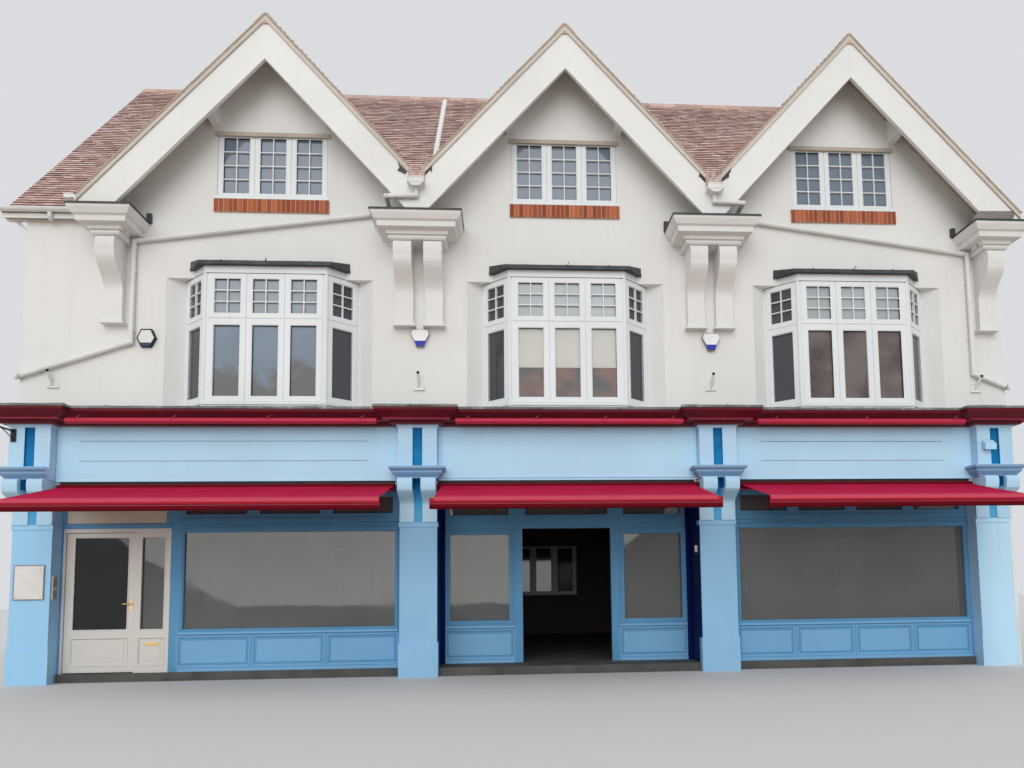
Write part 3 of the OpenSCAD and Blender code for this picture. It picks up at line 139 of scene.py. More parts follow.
# Looks
class Paint:
    """Builds one procedural material; coordinates are the object's, in metres."""

    def __init__(self, name, color, rough=0.6, metal=0.0, spec=0.3):
        self.mat = bpy.data.materials.new(name)
        self.mat.use_nodes = True
        self.tree = self.mat.node_tree
        self.shader = self.tree.nodes["Principled BSDF"]
        self.set("Base Color", color)
        self.set("Roughness", rough)
        self.set("Metallic", metal)
        self.set("Specular IOR Level", spec)
        self.coord = self.put("ShaderNodeTexCoord").outputs["Object"]
        self.normal = None
        self.tone = color

    def feed(self, socket, value):
        """Links another socket to this one, or gives it a plain value."""
        if isinstance(value, bpy.types.NodeSocket):
            self.tree.links.new(value, socket)
        else:
            socket.default_value = (*value, 1) if socket.type == "RGBA" else value

    def set(self, socket, value):
        self.feed(self.shader.inputs[socket], value)

    def put(self, kind, values=(), **attrs):
        node = self.tree.nodes.new(kind)
        for key, value in attrs.items():
            setattr(node, key, value)
        for key, value in values:
            self.feed(node.inputs[key], value)
        return node

    def noise(self, scale, detail=3.0, rough=0.55, stretch=(1, 1, 1)):
        place = self.put("ShaderNodeMapping", [("Vector", self.coord), ("Scale", stretch)]).outputs["Vector"]
        return self.put("ShaderNodeTexNoise", [
            ("Vector", place), ("Scale", scale), ("Detail", detail), ("Roughness", rough),
        ]).outputs["Fac"]

    def wave(self, scale, way):
        values = [("Vector", self.coord), ("Scale", scale)]
        return self.put("ShaderNodeTexWave", values, bands_direction=way).outputs["Fac"]

    def ramp(self, fac, low, high, a=0.0, b=1.0):
        return self.put("ShaderNodeMapRange", [
            ("Value", fac), ("From Min", low), ("From Max", high), ("To Min", a), ("To Max", b),
        ]).outputs["Result"]

    def patches(self, low, high, share, *noise):
        """Rises to a share where a noise rises from low to high."""
        return self.ramp(self.noise(*noise), low, high, 0, share)

    def math(self, op, a, b=0.0):
        return self.put("ShaderNodeMath", [(0, a), (1, b)], operation=op).outputs[0]

    def above(self, value, edge):
        return self.math("GREATER_THAN", value, edge)

    def below(self, value, edge):
        return self.math("LESS_THAN", value, edge)

    def product(self, first, *others):
        for other in others:
            first = self.math("MULTIPLY", first, other)
        return first

    def mix(self, share, a, b):
        return self.put("ShaderNodeMix", [(0, share), (6, a), (7, b)], data_type="RGBA").outputs[2]

    def tint(self, share, color):
        """Mixes a colour into the tone so far."""
        self.tone = self.mix(share, self.tone, color)

    def worn(self, share, color):
        """Tints small chipped spots."""
        spots = self.patches(0.70, 0.73, 1, 38, 5, 0.7)
        self.tint(self.product(spots, self.patches(0.5, 0.65, share, 2.3, 2)), color)

    def bump(self, strength, distance, *noise):
        """Adds relief from a noise or from a ready height."""
        height = noise[0] if isinstance(noise[0], bpy.types.NodeSocket) else self.noise(*noise)
        values = [("Height", height), ("Strength", strength), ("Distance", distance)]
        if self.normal is not None:
            values.append(("Normal", self.normal))
        self.normal = self.put("ShaderNodeBump", values).outputs["Normal"]

    def axis(self, name, vector=None):
        values = [("Vector", self.coord if vector is None else vector)]
        return self.put("ShaderNodeSeparateXYZ", values).outputs[name]

    def facing(self, name):
        return self.axis(name, self.put("ShaderNodeNewGeometry").outputs["Normal"])

    def shade(self):
        return self.put("ShaderNodeAttribute", attribute_name="shade").outputs["Fac"]

    def done(self, rough=None):
        for socket, value in (("Base Color", self.tone), ("Roughness", rough), ("Normal", self.normal)):
            if isinstance(value, bpy.types.NodeSocket):
                self.set(socket, value)
        return self.mat


RUNS = (1.0, 4, 0.6, (7, 7, 0.45))
BRUSH = (60, 4, 0.65, (1, 1, 0.35))


def dim(color, k):
    return [c * k for c in color]


def painted(name, color, rough=0.45, dark=0.9, streak=0.15, grain=0.25, chips=0.0, under=(0.4, 0.38, 0.34),
            spec=0.3):
    """Paint on wood or render: slow tone changes, rain streaks, brush grain and worn spots."""
    p = Paint(name, color, rough, 0.0, spec)
    slow = p.noise(0.9, 4)
    p.tint(p.ramp(slow, 0.35, 0.7), dim(color, dark))
    p.tint(p.patches(0.55, 0.8, streak, *RUNS), [c * 0.55 + 0.02 for c in color])
    if chips:
        p.worn(chips, under)
    p.bump(grain, 0.0015, *BRUSH)
    p.bump(0.25, 0.004, 6, 2)
    return p.done(p.ramp(slow, 0.3, 0.7, rough - 0.06, rough + 0.1))


def rendered(name, color):
    """Smooth painted render with grime that runs down from ledges and darkens its foot; inside the rooms it
    is painted dark as painted shade.
    """
    p = Paint(name, color, 0.85)
    p.tint(p.patches(0.35, 0.7, 1, 0.45, 5, 0.6), dim(color, 0.93))
    p.tint(p.patches(0.56, 0.85, 0.3, 1.0, 5, 0.62, (5, 5, 0.28)), (0.50, 0.49, 0.46))
    foot = p.ramp(p.axis("Z"), 0.0, 0.9, 0.55, 0)
    p.tint(p.product(foot, p.patches(0.3, 0.7, 1, 3, 4)), (0.33, 0.32, 0.28))
    # Painted shade: inside the rooms the render is tinted near black for the unlit interior.
    x, y = p.axis("X"), p.axis("Y")
    inside = p.product(p.above(y, ORIGIN.y + ROOM_Y[0]), p.below(y, ORIGIN.y + ROOM_Y[1]),
                       p.above(x, ORIGIN.x + ROOM_X[0]), p.below(x, ORIGIN.x + ROOM_X[1]))
    p.tint(inside, (0.10, 0.09, 0.08))
    p.bump(0.35, 0.0025, 95, 3, 0.6)
    p.bump(0.35, 0.008, 4.5, 3)
    return p.done()


def tiled(name):
    """Clay tiles: every tile its own shade, with soot, orange lichen and pale spots."""
    p = Paint(name, (0.47, 0.30, 0.265), 0.85, 0.0, 0.15)
    shade = p.shade()
    p.tint(p.ramp(shade, 0.0, 0.6), (0.69, 0.49, 0.435))
    p.tint(p.ramp(shade, 0.62, 1.0), (0.80, 0.64, 0.57))
    p.tint(p.patches(0.46, 0.66, 0.4, 0.55, 5, 0.65), (0.34, 0.275, 0.25))
    lichen = p.product(p.patches(0.56, 0.62, 1, 22, 4, 0.7), p.patches(0.50, 0.62, 0.7, 1.4, 3))
    p.tint(lichen, (0.62, 0.33, 0.10))
    pale = p.product(p.patches(0.62, 0.68, 1, 48, 3, 0.7), p.patches(0.46, 0.64, 0.6, 2.7, 3))
    p.tint(pale, (0.58, 0.56, 0.48))
    p.bump(0.5, 0.002, 120, 4, 0.7)
    p.bump(0.4, 0.004, 26, 2)
    return p.done()


def roof_underside(name):
    """The slab under the tiles: boards below, white fascias on its edges, mortar under the end tiles."""
    p = Paint(name, (0.80, 0.79, 0.76), 0.8)
    p.tint(p.patches(0.5, 0.8, 0.4, 1.0, 4, 0.6, (6, 6, 0.5)), (0.52, 0.49, 0.44))
    across = p.math("ABSOLUTE", p.math("SUBTRACT", p.axis("Y"), ORIGIN.y + DEPTH / 2))
    under = p.math("SUBTRACT", p.math("SUBTRACT", RIDGE_Z, p.product(across, TP)), p.axis("Z"))
    at_end = p.ramp(p.math("ABSOLUTE", p.facing("X")), 0.9, 0.95)
    p.tint(p.product(p.below(under, 0.045), at_end), (0.50, 0.40, 0.30))
    up = p.facing("Z")
    boards = p.mix(p.patches(0.4, 0.65, 1, 1.6, 4), (0.52, 0.45, 0.37), (0.40, 0.33, 0.26))
    boards = p.mix(p.ramp(p.wave(1.6, "Y"), 0.0, 0.04, 0.8, 0), boards, (0.12, 0.09, 0.07))
    p.tint(p.ramp(up, -0.3, -0.2, 1, 0), boards)
    clay = p.mix(p.patches(0.35, 0.65, 1, 9, 4), (0.17, 0.11, 0.09), (0.34, 0.22, 0.18))
    p.tint(p.ramp(up, 0.2, 0.3), clay)
    p.bump(0.4, 0.003, 50, 4, 0.7)
    return p.done()


def bricks(name):
    p = Paint(name, (0.27, 0.060, 0.026), 0.8)
    p.tint(p.shade(), (0.53, 0.150, 0.062))
    p.tint(p.patches(0.55, 0.72, 0.5, 55, 4, 0.7), (0.17, 0.06, 0.04))
    p.tint(p.patches(0.64, 0.78, 0.4, 9, 4, 0.7), (0.50, 0.36, 0.26))
    p.bump(0.6, 0.002, 160, 4, 0.7)
    return p.done()


def mortar(name):
    p = Paint(name, (0.56, 0.46, 0.35), 0.9)
    p.tint(p.patches(0.4, 0.7, 1, 6, 5, 0.7), (0.38, 0.25, 0.17))
    p.bump(0.7, 0.003, 140, 4, 0.7)
    return p.done()


def leaded(name, low, high, streaky=1.0):
    """Sheet lead: blue-grey with white patina runs and dressed dents."""
    p = Paint(name, low, 0.55, 0.25)
    p.tint(p.patches(0.35, 0.68, 1, 1.7, 5, 0.65), high)
    p.tint(p.patches(0.55, 0.75, 0.45 * streaky, 1.0, 4, 0.6, (9, 9, 0.8)), dim(high, 1.8))
    p.tint(p.patches(0.62, 0.75, 0.6, 14, 4, 0.7), dim(low, 0.45))
    p.bump(0.6, 0.01, 7, 3)
    p.bump(0.3, 0.002, 70, 3)
    return p.done(p.ramp(p.noise(5, 3), 0.3, 0.7, 0.42, 0.7))


def glazed(name, color, rough, clear, gloss):
    """Window glass: tinted, slightly uneven, with a film of dust."""
    p = Paint(name, color, rough, 0.0, gloss)
    p.set("IOR", 1.5)
    p.set("Transmission Weight", clear)
    p.bump(0.12, 0.01, 1.3, 2)
    p.tint(p.patches(0.35, 0.7, 1, 0.8, 3), dim(color, 0.75))
    return p.done(p.ramp(p.noise(2.2, 5, 0.65, (1, 1, 0.5)), 0.5, 0.8, rough, rough + 0.10))


def curtained(name):
    """Upper panes: painted reflections of the sky and of the buildings opposite, nets in the small lights, a
    clear view to the blinds over a painted dark shop inside, and the side panes painted darker as painted
    shade.
    """
    p = Paint(name, (0.050, 0.046, 0.045), 0.05, 0.0, 0.6)
    p.set("IOR", 1.5)
    p.bump(0.12, 0.01, 1.3, 2)
    y, z = p.axis("Y"), p.axis("Z")
    across = p.math("SUBTRACT", p.axis("X"), ORIGIN.x)
    front = p.above(p.math("ABSOLUTE", p.facing("Y")), 0.9)
    # Painted reflection of the sky: the panes turn blue-grey above a wavy height.
    sky = p.math("ADD", z, p.product(p.math("SUBTRACT", p.noise(1.9, 3), 0.5), 1.6))
    p.tint(p.ramp(sky, 4.55, 4.80), (0.110, 0.185, 0.270))
    p.tint(p.ramp(sky, 4.9, 5.6), (0.150, 0.245, 0.345))
    # Painted reflection of the buildings opposite, dark, on the right-hand windows.
    reflected_houses = p.mix(p.patches(0.4, 0.65, 1, 1.6, 4), (0.20, 0.165, 0.155), (0.085, 0.060, 0.055))
    p.tint(p.product(p.above(across, 2.5), p.above(z, 4.0)), reflected_houses)
    nets = p.mix(p.ramp(across, -2.6, -2.5), (0.29, 0.35, 0.40), (0.50, 0.56, 0.585))
    p.tint(p.ramp(z, BAY_BAR_Z, BAY_BAR_Z + 0.01), nets)
    # Painted shade: panes that face neither front nor back are tinted near black.
    p.tone = p.mix(front, (0.055, 0.058, 0.070), p.tone)
    # Painted reflection of the sky: the attic panes are pale blue-grey.
    p.tint(p.ramp(z, 7.0, 7.01), (0.195, 0.250, 0.325))
    p.tint(p.patches(0.35, 0.7, 0.25, 0.8, 3), (0.08, 0.10, 0.12))
    middle = p.product(p.below(p.math("ABSOLUTE", across), 0.87), front, p.below(y, ORIGIN.y),
                       p.below(z, BAY_BAR_Z), p.above(z, 4.2))
    # Painted shade: below the blinds the middle bay shows a dark shop inside with reddish patches.
    painted_dark_room = p.mix(p.patches(0.42, 0.58, 1, 2.4, 3), (0.030, 0.026, 0.032), (0.150, 0.060, 0.045))
    over_foot = p.above(z, UNDER_BLINDS_Z)
    p.tint(middle, p.mix(over_foot, painted_dark_room, (0.95, 0.95, 0.93)))
    rest = p.product(p.below(y, ORIGIN.y + 4.0), 0.12)
    p.set("Transmission Weight", p.math("MAXIMUM", p.product(middle, over_foot, 0.90), rest))
    return p.done()


def stony(name):
    p = Paint(name, (0.115, 0.115, 0.108), 0.85)
    p.tint(p.patches(0.35, 0.7, 1, 2.2, 5, 0.65), (0.062, 0.064, 0.062))
    p.tint(p.patches(0.6, 0.7, 0.5, 130, 3, 0.7), (0.05, 0.05, 0.046))
    p.bump(0.5, 0.003, 90, 4, 0.7)
    return p.done()


def boarded(name):
    p = Paint(name, (0.24, 0.15, 0.085), 0.55)
    p.tone = p.put("ShaderNodeTexBrick", [
        ("Vector", p.coord), ("Color1", (0.27, 0.17, 0.095)), ("Color2", (0.19, 0.115, 0.06)),
        ("Mortar", (0.04, 0.025, 0.015)), ("Scale", 1.0), ("Mortar Size", 0.004),
        ("Brick Width", 2.4), ("Row Height", 0.14),
    ]).outputs["Color"]
    grain = (18, 5, 0.6, (0.12, 1, 1))
    p.tint(p.patches(0.35, 0.7, 0.4, *grain), (0.11, 0.065, 0.035))
    p.bump(0.2, 0.002, *grain)
    return p.done()


def woven(name, color, fade, thread=850.0, front_fade_and_rail_highlight=0.0):
    """Cloth: plain weave at thread scale, paler in patches where dust and sun reach it, paler towards an
    awning's front with a painted highlight where it rolls over the rail, runs of dirt along the fall.
    """
    p = Paint(name, color, 0.95, 0.0, 0.04)
    p.set("Sheen Weight", 0.01)
    p.set("Sheen Roughness", 0.5)
    p.tint(p.patches(0.4, 0.72, 1, 1.1, 4, 0.6, (1, 2.5, 1)), fade)
    if front_fade_and_rail_highlight:
        y = p.axis("Y")
        # Paler towards the front, then a pink painted highlight where the cloth rolls over the rail.
        p.tint(p.ramp(y, ORIGIN.y - 0.5, ORIGIN.y - 1.5), fade)
        p.tint(p.ramp(y, ORIGIN.y - 1.48, ORIGIN.y - 1.58, 0, front_fade_and_rail_highlight), (0.60, 0.18, 0.20))
    p.tint(p.patches(0.56, 0.78, 0.22, 1.0, 5, 0.65, (9, 0.7, 0.7)), dim(color, 0.5))
    scuffs = p.patches(0.68, 0.72, 1, 30, 4, 0.7, (0.35, 1, 1))
    p.tint(p.product(scuffs, p.patches(0.52, 0.62, 0.45, 1.3, 2)), (0.66, 0.42, 0.42))
    p.bump(0.25, 0.0006, p.math("ADD", p.wave(thread / 20, "X"), p.wave(thread / 20, "Y")))
    p.bump(0.15, 0.003, 9, 3)
    return p.done()


def plastic(name, color, rough=0.4):
    p = Paint(name, color, rough)
    p.tint(p.patches(0.4, 0.7, 1, 2.4, 4), dim(color, 0.88))
    p.tint(p.patches(0.58, 0.75, 0.35, 16, 5, 0.7), (0.40, 0.38, 0.34))
    p.bump(0.1, 0.001, 45, 2)
    return p.done(p.ramp(p.noise(8, 3), 0.3, 0.7, rough, rough + 0.15))


def metal(name, color, rough=0.35, metallic=0.0, scratch=0.3, spec=0.3):
    """Powder coat or bare metal with fine scratches."""
    p = Paint(name, color, rough, metallic, spec)
    lines = p.patches(0.66, 0.72, scratch, 1.0, 4, 0.7, (0.8, 90, 90))
    p.tint(lines, [min(1, c * 1.5 + 0.03) for c in color])
    p.tint(p.patches(0.55, 0.8, 0.3, 5, 4, 0.7), dim(color, 0.6))
    p.bump(0.08, 0.0008, 150, 2)
    return p.done(p.ramp(p.noise(9, 3), 0.3, 0.7, rough, rough + 0.15))


def recess_blue(name):
    """Saturated blue between the strips, paler where daylight reaches its foot."""
    p = Paint(name, (0.10, 0.42, 0.72), 0.5, 0.0, 0.06)
    z = p.axis("Z")
    p.tint(p.ramp(z, 2.5, 2.95), (0.004, 0.20, 0.46))
    p.tint(p.ramp(z, 3.45, 3.9, 0, 0.7), (0.003, 0.075, 0.28))
    p.tint(p.patches(0.45, 0.75, 0.25, 5, 4), (0.06, 0.34, 0.62))
    p.bump(0.25, 0.0015, *BRUSH)
    return p.done()


def head_blue(name):
    """Light blue of the piers' heads, with a greyer band of painted shade on the moulding across their foot,
    left off the first pier's lit right side.
    """
    p = Paint(name, (0.49, 0.74, 0.93), 0.45, 0.0, 0.25)
    slow = p.patches(0.35, 0.7, 1, 0.9, 4)
    p.tint(slow, (0.43, 0.67, 0.86))
    z = p.axis("Z")
    # Painted shade: the moulding across the heads' foot is greyer, except on the first pier's lit right side.
    cut = p.product(p.above(p.facing("X"), 0.9), p.below(p.axis("X"), ORIGIN.x - 7.5))
    p.tint(p.product(p.above(z, 3.064), p.below(z, 3.240), p.math("SUBTRACT", 1.0, cut)), (0.22, 0.38, 0.58))
    p.tint(p.patches(0.55, 0.8, 0.15, *RUNS), (0.24, 0.36, 0.46))
    p.worn(0.4, (0.66, 0.70, 0.72))
    p.bump(0.25, 0.0015, *BRUSH)
    return p.done(p.ramp(slow, 0.0, 1.0, 0.4, 0.52))


def pier_blue(name):
    """Blue of the piers, painted paler towards both ends of the front as painted light where the awnings'
    shade does not fall.
    """
    p = Paint(name, (0.30, 0.57, 0.84), 0.45, 0.0, 0.2)
    slow = p.patches(0.35, 0.7, 1, 0.9, 4)
    p.tint(slow, (0.26, 0.51, 0.77))
    # Painted light: the end piers, outside the awnings' shade, are painted paler.
    x = p.axis("X")
    p.tint(p.ramp(x, ORIGIN.x + 6.0, ORIGIN.x + 7.0), (0.52, 0.80, 1.0))
    p.tint(p.ramp(x, ORIGIN.x - 7.0, ORIGIN.x - 7.8), (0.35, 0.66, 0.95))
    p.tint(p.patches(0.55, 0.8, 0.14, *RUNS), (0.17, 0.32, 0.47))
    p.worn(0.5, (0.62, 0.66, 0.68))
    p.bump(0.3, 0.0015, *BRUSH)
    p.bump(0.25, 0.004, 6, 2)
    return p.done(p.ramp(slow, 0.0, 1.0, 0.39, 0.55))


NO_CHIPS = (0.0, (0, 0, 0))
MAKERS = {
    "render": (rendered, (0.81, 0.81, 0.795)),
    "white": (painted, (0.83, 0.83, 0.815), 0.4, 0.95, 0.12, 0.3, 0.4),
    "frame_white": (painted, (0.80, 0.84, 0.86), 0.4, 0.95, 0.1, 0.25, 0.3),
    "verge": (painted, (0.66, 0.62, 0.55), 0.8, 0.85, 0.3, 0.5),
    "verge_tile": (painted, (0.62, 0.51, 0.45), 0.85, 0.7, 0.3, 0.5),
    # Dark fill in the spaces between the dentils: painted shade.
    "gap": (painted, (0.34, 0.29, 0.25), 0.8, 0.8, 0.2, 0.2),
    "rough_bed": (painted, (0.30, 0.28, 0.25), 0.9, 0.5, 0.5, 0.6),
    "old_paint": (painted, (0.56, 0.50, 0.42), 0.7, 0.7, 0.4, 0.4, 0.8),
    "door_white": (painted, (0.70, 0.69, 0.66), 0.35, 0.95, 0.08, 0.25, 0.25),
    "blue": (pier_blue,),
    "head_blue": (head_blue,),
    "panel_blue": (painted, (0.20, 0.46, 0.74), 0.45, 0.9, 0.14, 0.3, 0.5, (0.6, 0.65, 0.68), 0.2),
    "fascia": (painted, (0.50, 0.80, 1.0), 0.45, 0.96, 0.06, 0.15, *NO_CHIPS, 0.15),
    # Darker shop blue for the joinery under the awnings: partly its own colour, partly painted shade.
    "dusk_blue": (painted, (0.12, 0.34, 0.58), 0.45, 0.85, 0.2, 0.3, 0.4, (0.45, 0.52, 0.6), 0.15),
    # Dark strips under the bays' sills and white fascias: painted shadow.
    "brown": (painted, (0.055, 0.035, 0.025), 0.7, 0.8, 0.1, 0.2),
    "line_blue": (painted, (0.12, 0.20, 0.32), 0.5, 0.9, 0.2, 0.2),
    "navy": (painted, (0.002, 0.010, 0.10), 0.5, 0.8, 0.1, 0.2, *NO_CHIPS, 0.06),
    "recess": (recess_blue,),
    "crimson": (painted, (0.145, 0.006, 0.016), 0.4, 0.75, 0.25, 0.25, 0.5, (0.45, 0.30, 0.28), 0.2),
    # Brighter red: a painted highlight on the cornice's upper bead, the rail's ridge and the cassette's lip;
    # also the trough lights' arms.
    "bead_red": (painted, (0.44, 0.045, 0.085), 0.4, 0.85, 0.2, 0.2, *NO_CHIPS, 0.25),
    "red_metal": (metal, (0.46, 0.020, 0.058), 0.35, 0.0, 0.5),
    "rail_red": (metal, (0.40, 0.006, 0.020), 0.4, 0.0, 0.3, 0.12),
    # Darker copy of the rail's red: painted shade.
    "rail_dark": (metal, (0.14, 0.002, 0.008), 0.45, 0.0, 0.15, 0.06),
    "tiles": (tiled,),
    # Tiles' side faces, darker than their tops: painted shade along the courses.
    "tile_edges": (painted, (0.15, 0.085, 0.075), 0.9, 0.7, 0.3, 0.5),
    "roof_under": (roof_underside,),
    "brick": (bricks,),
    "mortar": (mortar,),
    "lead": (leaded, (0.042, 0.045, 0.050), (0.078, 0.081, 0.086)),
    "old_lead": (leaded, (0.11, 0.113, 0.113), (0.24, 0.24, 0.232), 1.6),
    "glass": (curtained,),
    "shop_glass": (glazed, (0.27, 0.285, 0.28), 0.02, 0.62, 0.6),
    "door_glass": (glazed, (0.030, 0.036, 0.038), 0.02, 0.7, 0.3),
    "stone": (stony,),
    "floor": (boarded,),
    "cloth": (woven, (0.44, 0.002, 0.040), (0.55, 0.012, 0.072), 850.0, 0.35),
    "blind": (woven, (0.82, 0.80, 0.74), (0.78, 0.75, 0.68), 600.0),
    "plastic": (plastic, (0.80, 0.80, 0.78)),
    "cream_plastic": (plastic, (0.62, 0.58, 0.48)),
    "grey_plastic": (plastic, (0.30, 0.28, 0.24)),
    "teal_plastic": (plastic, (0.003, 0.035, 0.090), 0.3),
    "bright_plastic": (plastic, (0.90, 0.91, 0.93), 0.3),
    "blue_plastic": (plastic, (0.004, 0.02, 0.40), 0.3),
    "black": (metal, (0.012, 0.012, 0.014), 0.45, 0.0, 0.1),
    "brass": (metal, (0.72, 0.50, 0.20), 0.28, 1.0, 0.25),
    "steel": (metal, (0.42, 0.42, 0.42), 0.35, 1.0, 0.3),
}
M = {name: maker(name, *values) for name, (maker, *values) in MAKERS.items()}

CAD_LOOKS = {
    "stone": "ground_floor doorsteps", "floor": "upper_floors", "old_paint": "window_hoods",
    "render": "left_wall right_wall back_wall front_wall shop_beam wall_consoles entablature_blocks",
    "blue": "shop_piers", "head_blue": "pier_heads pier_consoles", "fascia": "shop_fascias",
    "crimson": "shop_cornice", "old_lead": "cornice_lead", "red_metal": "trough_lights awning_frames",
    "dusk_blue": "left_shopfront middle_shopfront right_shopfront", "shop_glass": "shop_glass",
    "cloth": "awnings", "frame_white": "bay_windows attic_windows plain_windows", "blind": "window_blinds",
    "glass": "window_glass", "brick": "brick_sills", "lead": "lead_flats",
    "white": "barge_boards purlin_ends eaves_brackets", "tiles": "ridge_tiles",
    "roof_under": "gable_roofs main_roof_front main_roof_back",
    "plastic": "gutters rainwater_pipes wall_fittings", "door_white": "side_door_frame door_leaf",
    "door_glass": "door_glass", "brass": "door_handle",
}
for look, names in CAD_LOOKS.items():
    for name in names.split():
        obj = bpy.data.objects[name]
        if not obj.material_slots:
            obj.data.materials.append(M[look])
        for slot in obj.material_slots:
            slot.material = M[look]


# Shapes
class Plane:
    """A wall plane: u runs along it, d stands out from it, z is height."""

    def __init__(self, at, along=(1, 0)):
        self.at = at
        self.along = along
        self.out = (along[1], -along[0])

    def point(self, u, d, z):
        x = self.at[0] + u * self.along[0] + d * self.out[0]
        y = self.at[1] + u * self.along[1] + d * self.out[1]
        return Vector((x, y, z))

    def rect(self, u0, u1, z0, z1, d):
        """Corners of an upright rectangle."""
        return [self.point(u, d, z) for u, z in ((u0, z0), (u1, z0), (u1, z1), (u0, z1))]


class Shape:
    """Collects the faces of one piece in the building's own metres."""

    def __init__(self):
        self.verts = []
        self.faces = []
        self.looks = []
        self.shades = []

    def add(self, verts, faces, look=0, shade=0.5):
        base = len(self.verts)
        self.verts.extend(Vector(v) for v in verts)
        for face in faces:
            self.faces.append([base + i for i in face])
            self.looks.append(look)
            self.shades.append(shade)

    def sweep(self, rings, look=0, shade=0.5, round_trip=False):
        """Faces from each ring of points to the next, with end faces or back to the first ring."""
        n = len(rings[0])
        total = n * len(rings)
        faces = []
        for k in range(0, total if round_trip else total - n, n):
            for i in range(n):
                a, b = k + i, k + (i + 1) % n
                faces.append((a, b, (b + n) % total, (a + n) % total))
        if not round_trip:
            faces += [range(n), range(total - n, total)]
        self.add([v for ring in rings for v in ring], faces, look, shade)

    def net(self, lines):
        """A sheet of faces over lines of points."""
        n = len(lines[0])
        starts = [k * n + i for k in range(len(lines) - 1) for i in range(n - 1)]
        self.add([v for line in lines for v in line], [(a, a + 1, a + n + 1, a + n) for a in starts])

    def box(self, a, b, look=0):
        low = [(a[0], a[1], a[2]), (b[0], a[1], a[2]), (b[0], b[1], a[2]), (a[0], b[1], a[2])]
        self.sweep([low, [(x, y, b[2]) for x, y, z in low]], look)

    def slab(self, plane, u, z, d, look=0):
        """A board on a wall plane: ranges of u, z and d."""
        self.sweep([plane.rect(*u, *z, out) for out in d], look)

    def ring(self, plane, u, z, profile, look=0):
        """A mitred frame round a rectangle; profile gives (inset, d) pairs from outside in."""
        rings = [plane.rect(u[0] + t, u[1] - t, z[0] + t, z[1] - t, d) for t, d in profile]
        self.sweep(rings, look, round_trip=True)

    def frame(self, plane, outer, inner, profile):
        """A frame between two rectangles (u0, u1, z0, z1); profile gives (share of the way in, d)."""
        rings = [plane.rect(*[a + t * (b - a) for a, b in zip(outer, inner)], d) for t, d in profile]
        self.sweep(rings, round_trip=True)

    def run(self, x0, x1, profile, look=0):
        """A bar along x with a section of (y, z) points."""
        self.sweep([[(x, y, z) for y, z in profile] for x in (x0, x1)], look)

    def plate(self, outline, at, y0, y1, look=0, shrink=1.0):
        """A plate on the front wall: outline of (x, z) about at, from y0 out to y1, its face shrunk."""
        ends = ((y0, 1), (y1, shrink))
        self.sweep([[(at[0] + x * k, y, at[1] + z * k) for x, z in outline] for y, k in ends], look)

    def tube(self, path, radius, sides=12, look=0):
        """A round bar along a list of points."""
        points = [Vector(p) for p in path]
        turns = [2 * math.pi * i / sides for i in range(sides)]
        rings = []
        for k, p in enumerate(points):
            ahead = (points[min(k + 1, len(points) - 1)] - points[max(k - 1, 0)]).normalized()
            side = ahead.cross(UP)
            if side.length < 0.1:
                side = ahead.cross(Vector((0, 1, 0)))
            side.normalize()
            up = side.cross(ahead)
            r = radius[k] if isinstance(radius, list) else radius
            rings.append([p + side * (r * math.cos(t)) + up * (r * math.sin(t)) for t in turns])
        self.sweep(rings, look)


def piece(name, shape, looks, body="building", bevel=0.0, smooth=False, replaces=None, closed=True):
    """Makes the object of a piece; a closed one gets its faces turned outwards."""
    mesh = bpy.data.meshes.new(name)
    mesh.from_pydata([v + ORIGIN for v in shape.verts], [], shape.faces)
    for look in looks:
        mesh.materials.append(M[look])
    mesh.polygons.foreach_set("material_index", shape.looks)
    shade = mesh.attributes.new("shade", "FLOAT", "FACE")
    shade.data.foreach_set("value", shape.shades)
    if smooth:
        mesh.polygons.foreach_set("use_smooth", [True] * len(mesh.polygons))
    mesh.update()
    if closed:
        bm = bmesh.new()
        bm.from_mesh(mesh)
        bmesh.ops.recalc_face_normals(bm, faces=bm.faces)
        bm.to_mesh(mesh)
        bm.free()
    obj = bpy.data.objects.new(name, mesh)
    bpy.context.scene.collection.objects.link(obj)
    if smooth:
        obj.data.set_sharp_from_angle(angle=math.radians(35))
    if bevel:
        mod = obj.modifiers.new("edges", "BEVEL")
        mod.width = bevel
        mod.segments = 2
        mod.limit_method = "ANGLE"
        mod.angle_limit = math.radians(40)
    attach(obj, body)
    if replaces:
        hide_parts(replaces)
    return obj


# Roof tiles
def clipped(poly, keep):
    """Cuts a polygon with half planes (a, b, c) that keep a*u + b*v >= c."""
    for a, b, c in keep:
        out = []
        for i, p in enumerate(poly):
            q = poly[(i + 1) % len(poly)]
            fp = a * p[0] + b * p[1] - c
            fq = a * q[0] + b * q[1] - c
            if fp >= 0:
                out.append(p)
            if fp * fq < 0:
                t = fp / (fp - fq)
                out.append((p[0] + t * (q[0] - p[0]), p[1] + t * (q[1] - p[1])))
        poly = out
        if len(poly) < 3:
            return []
    return poly


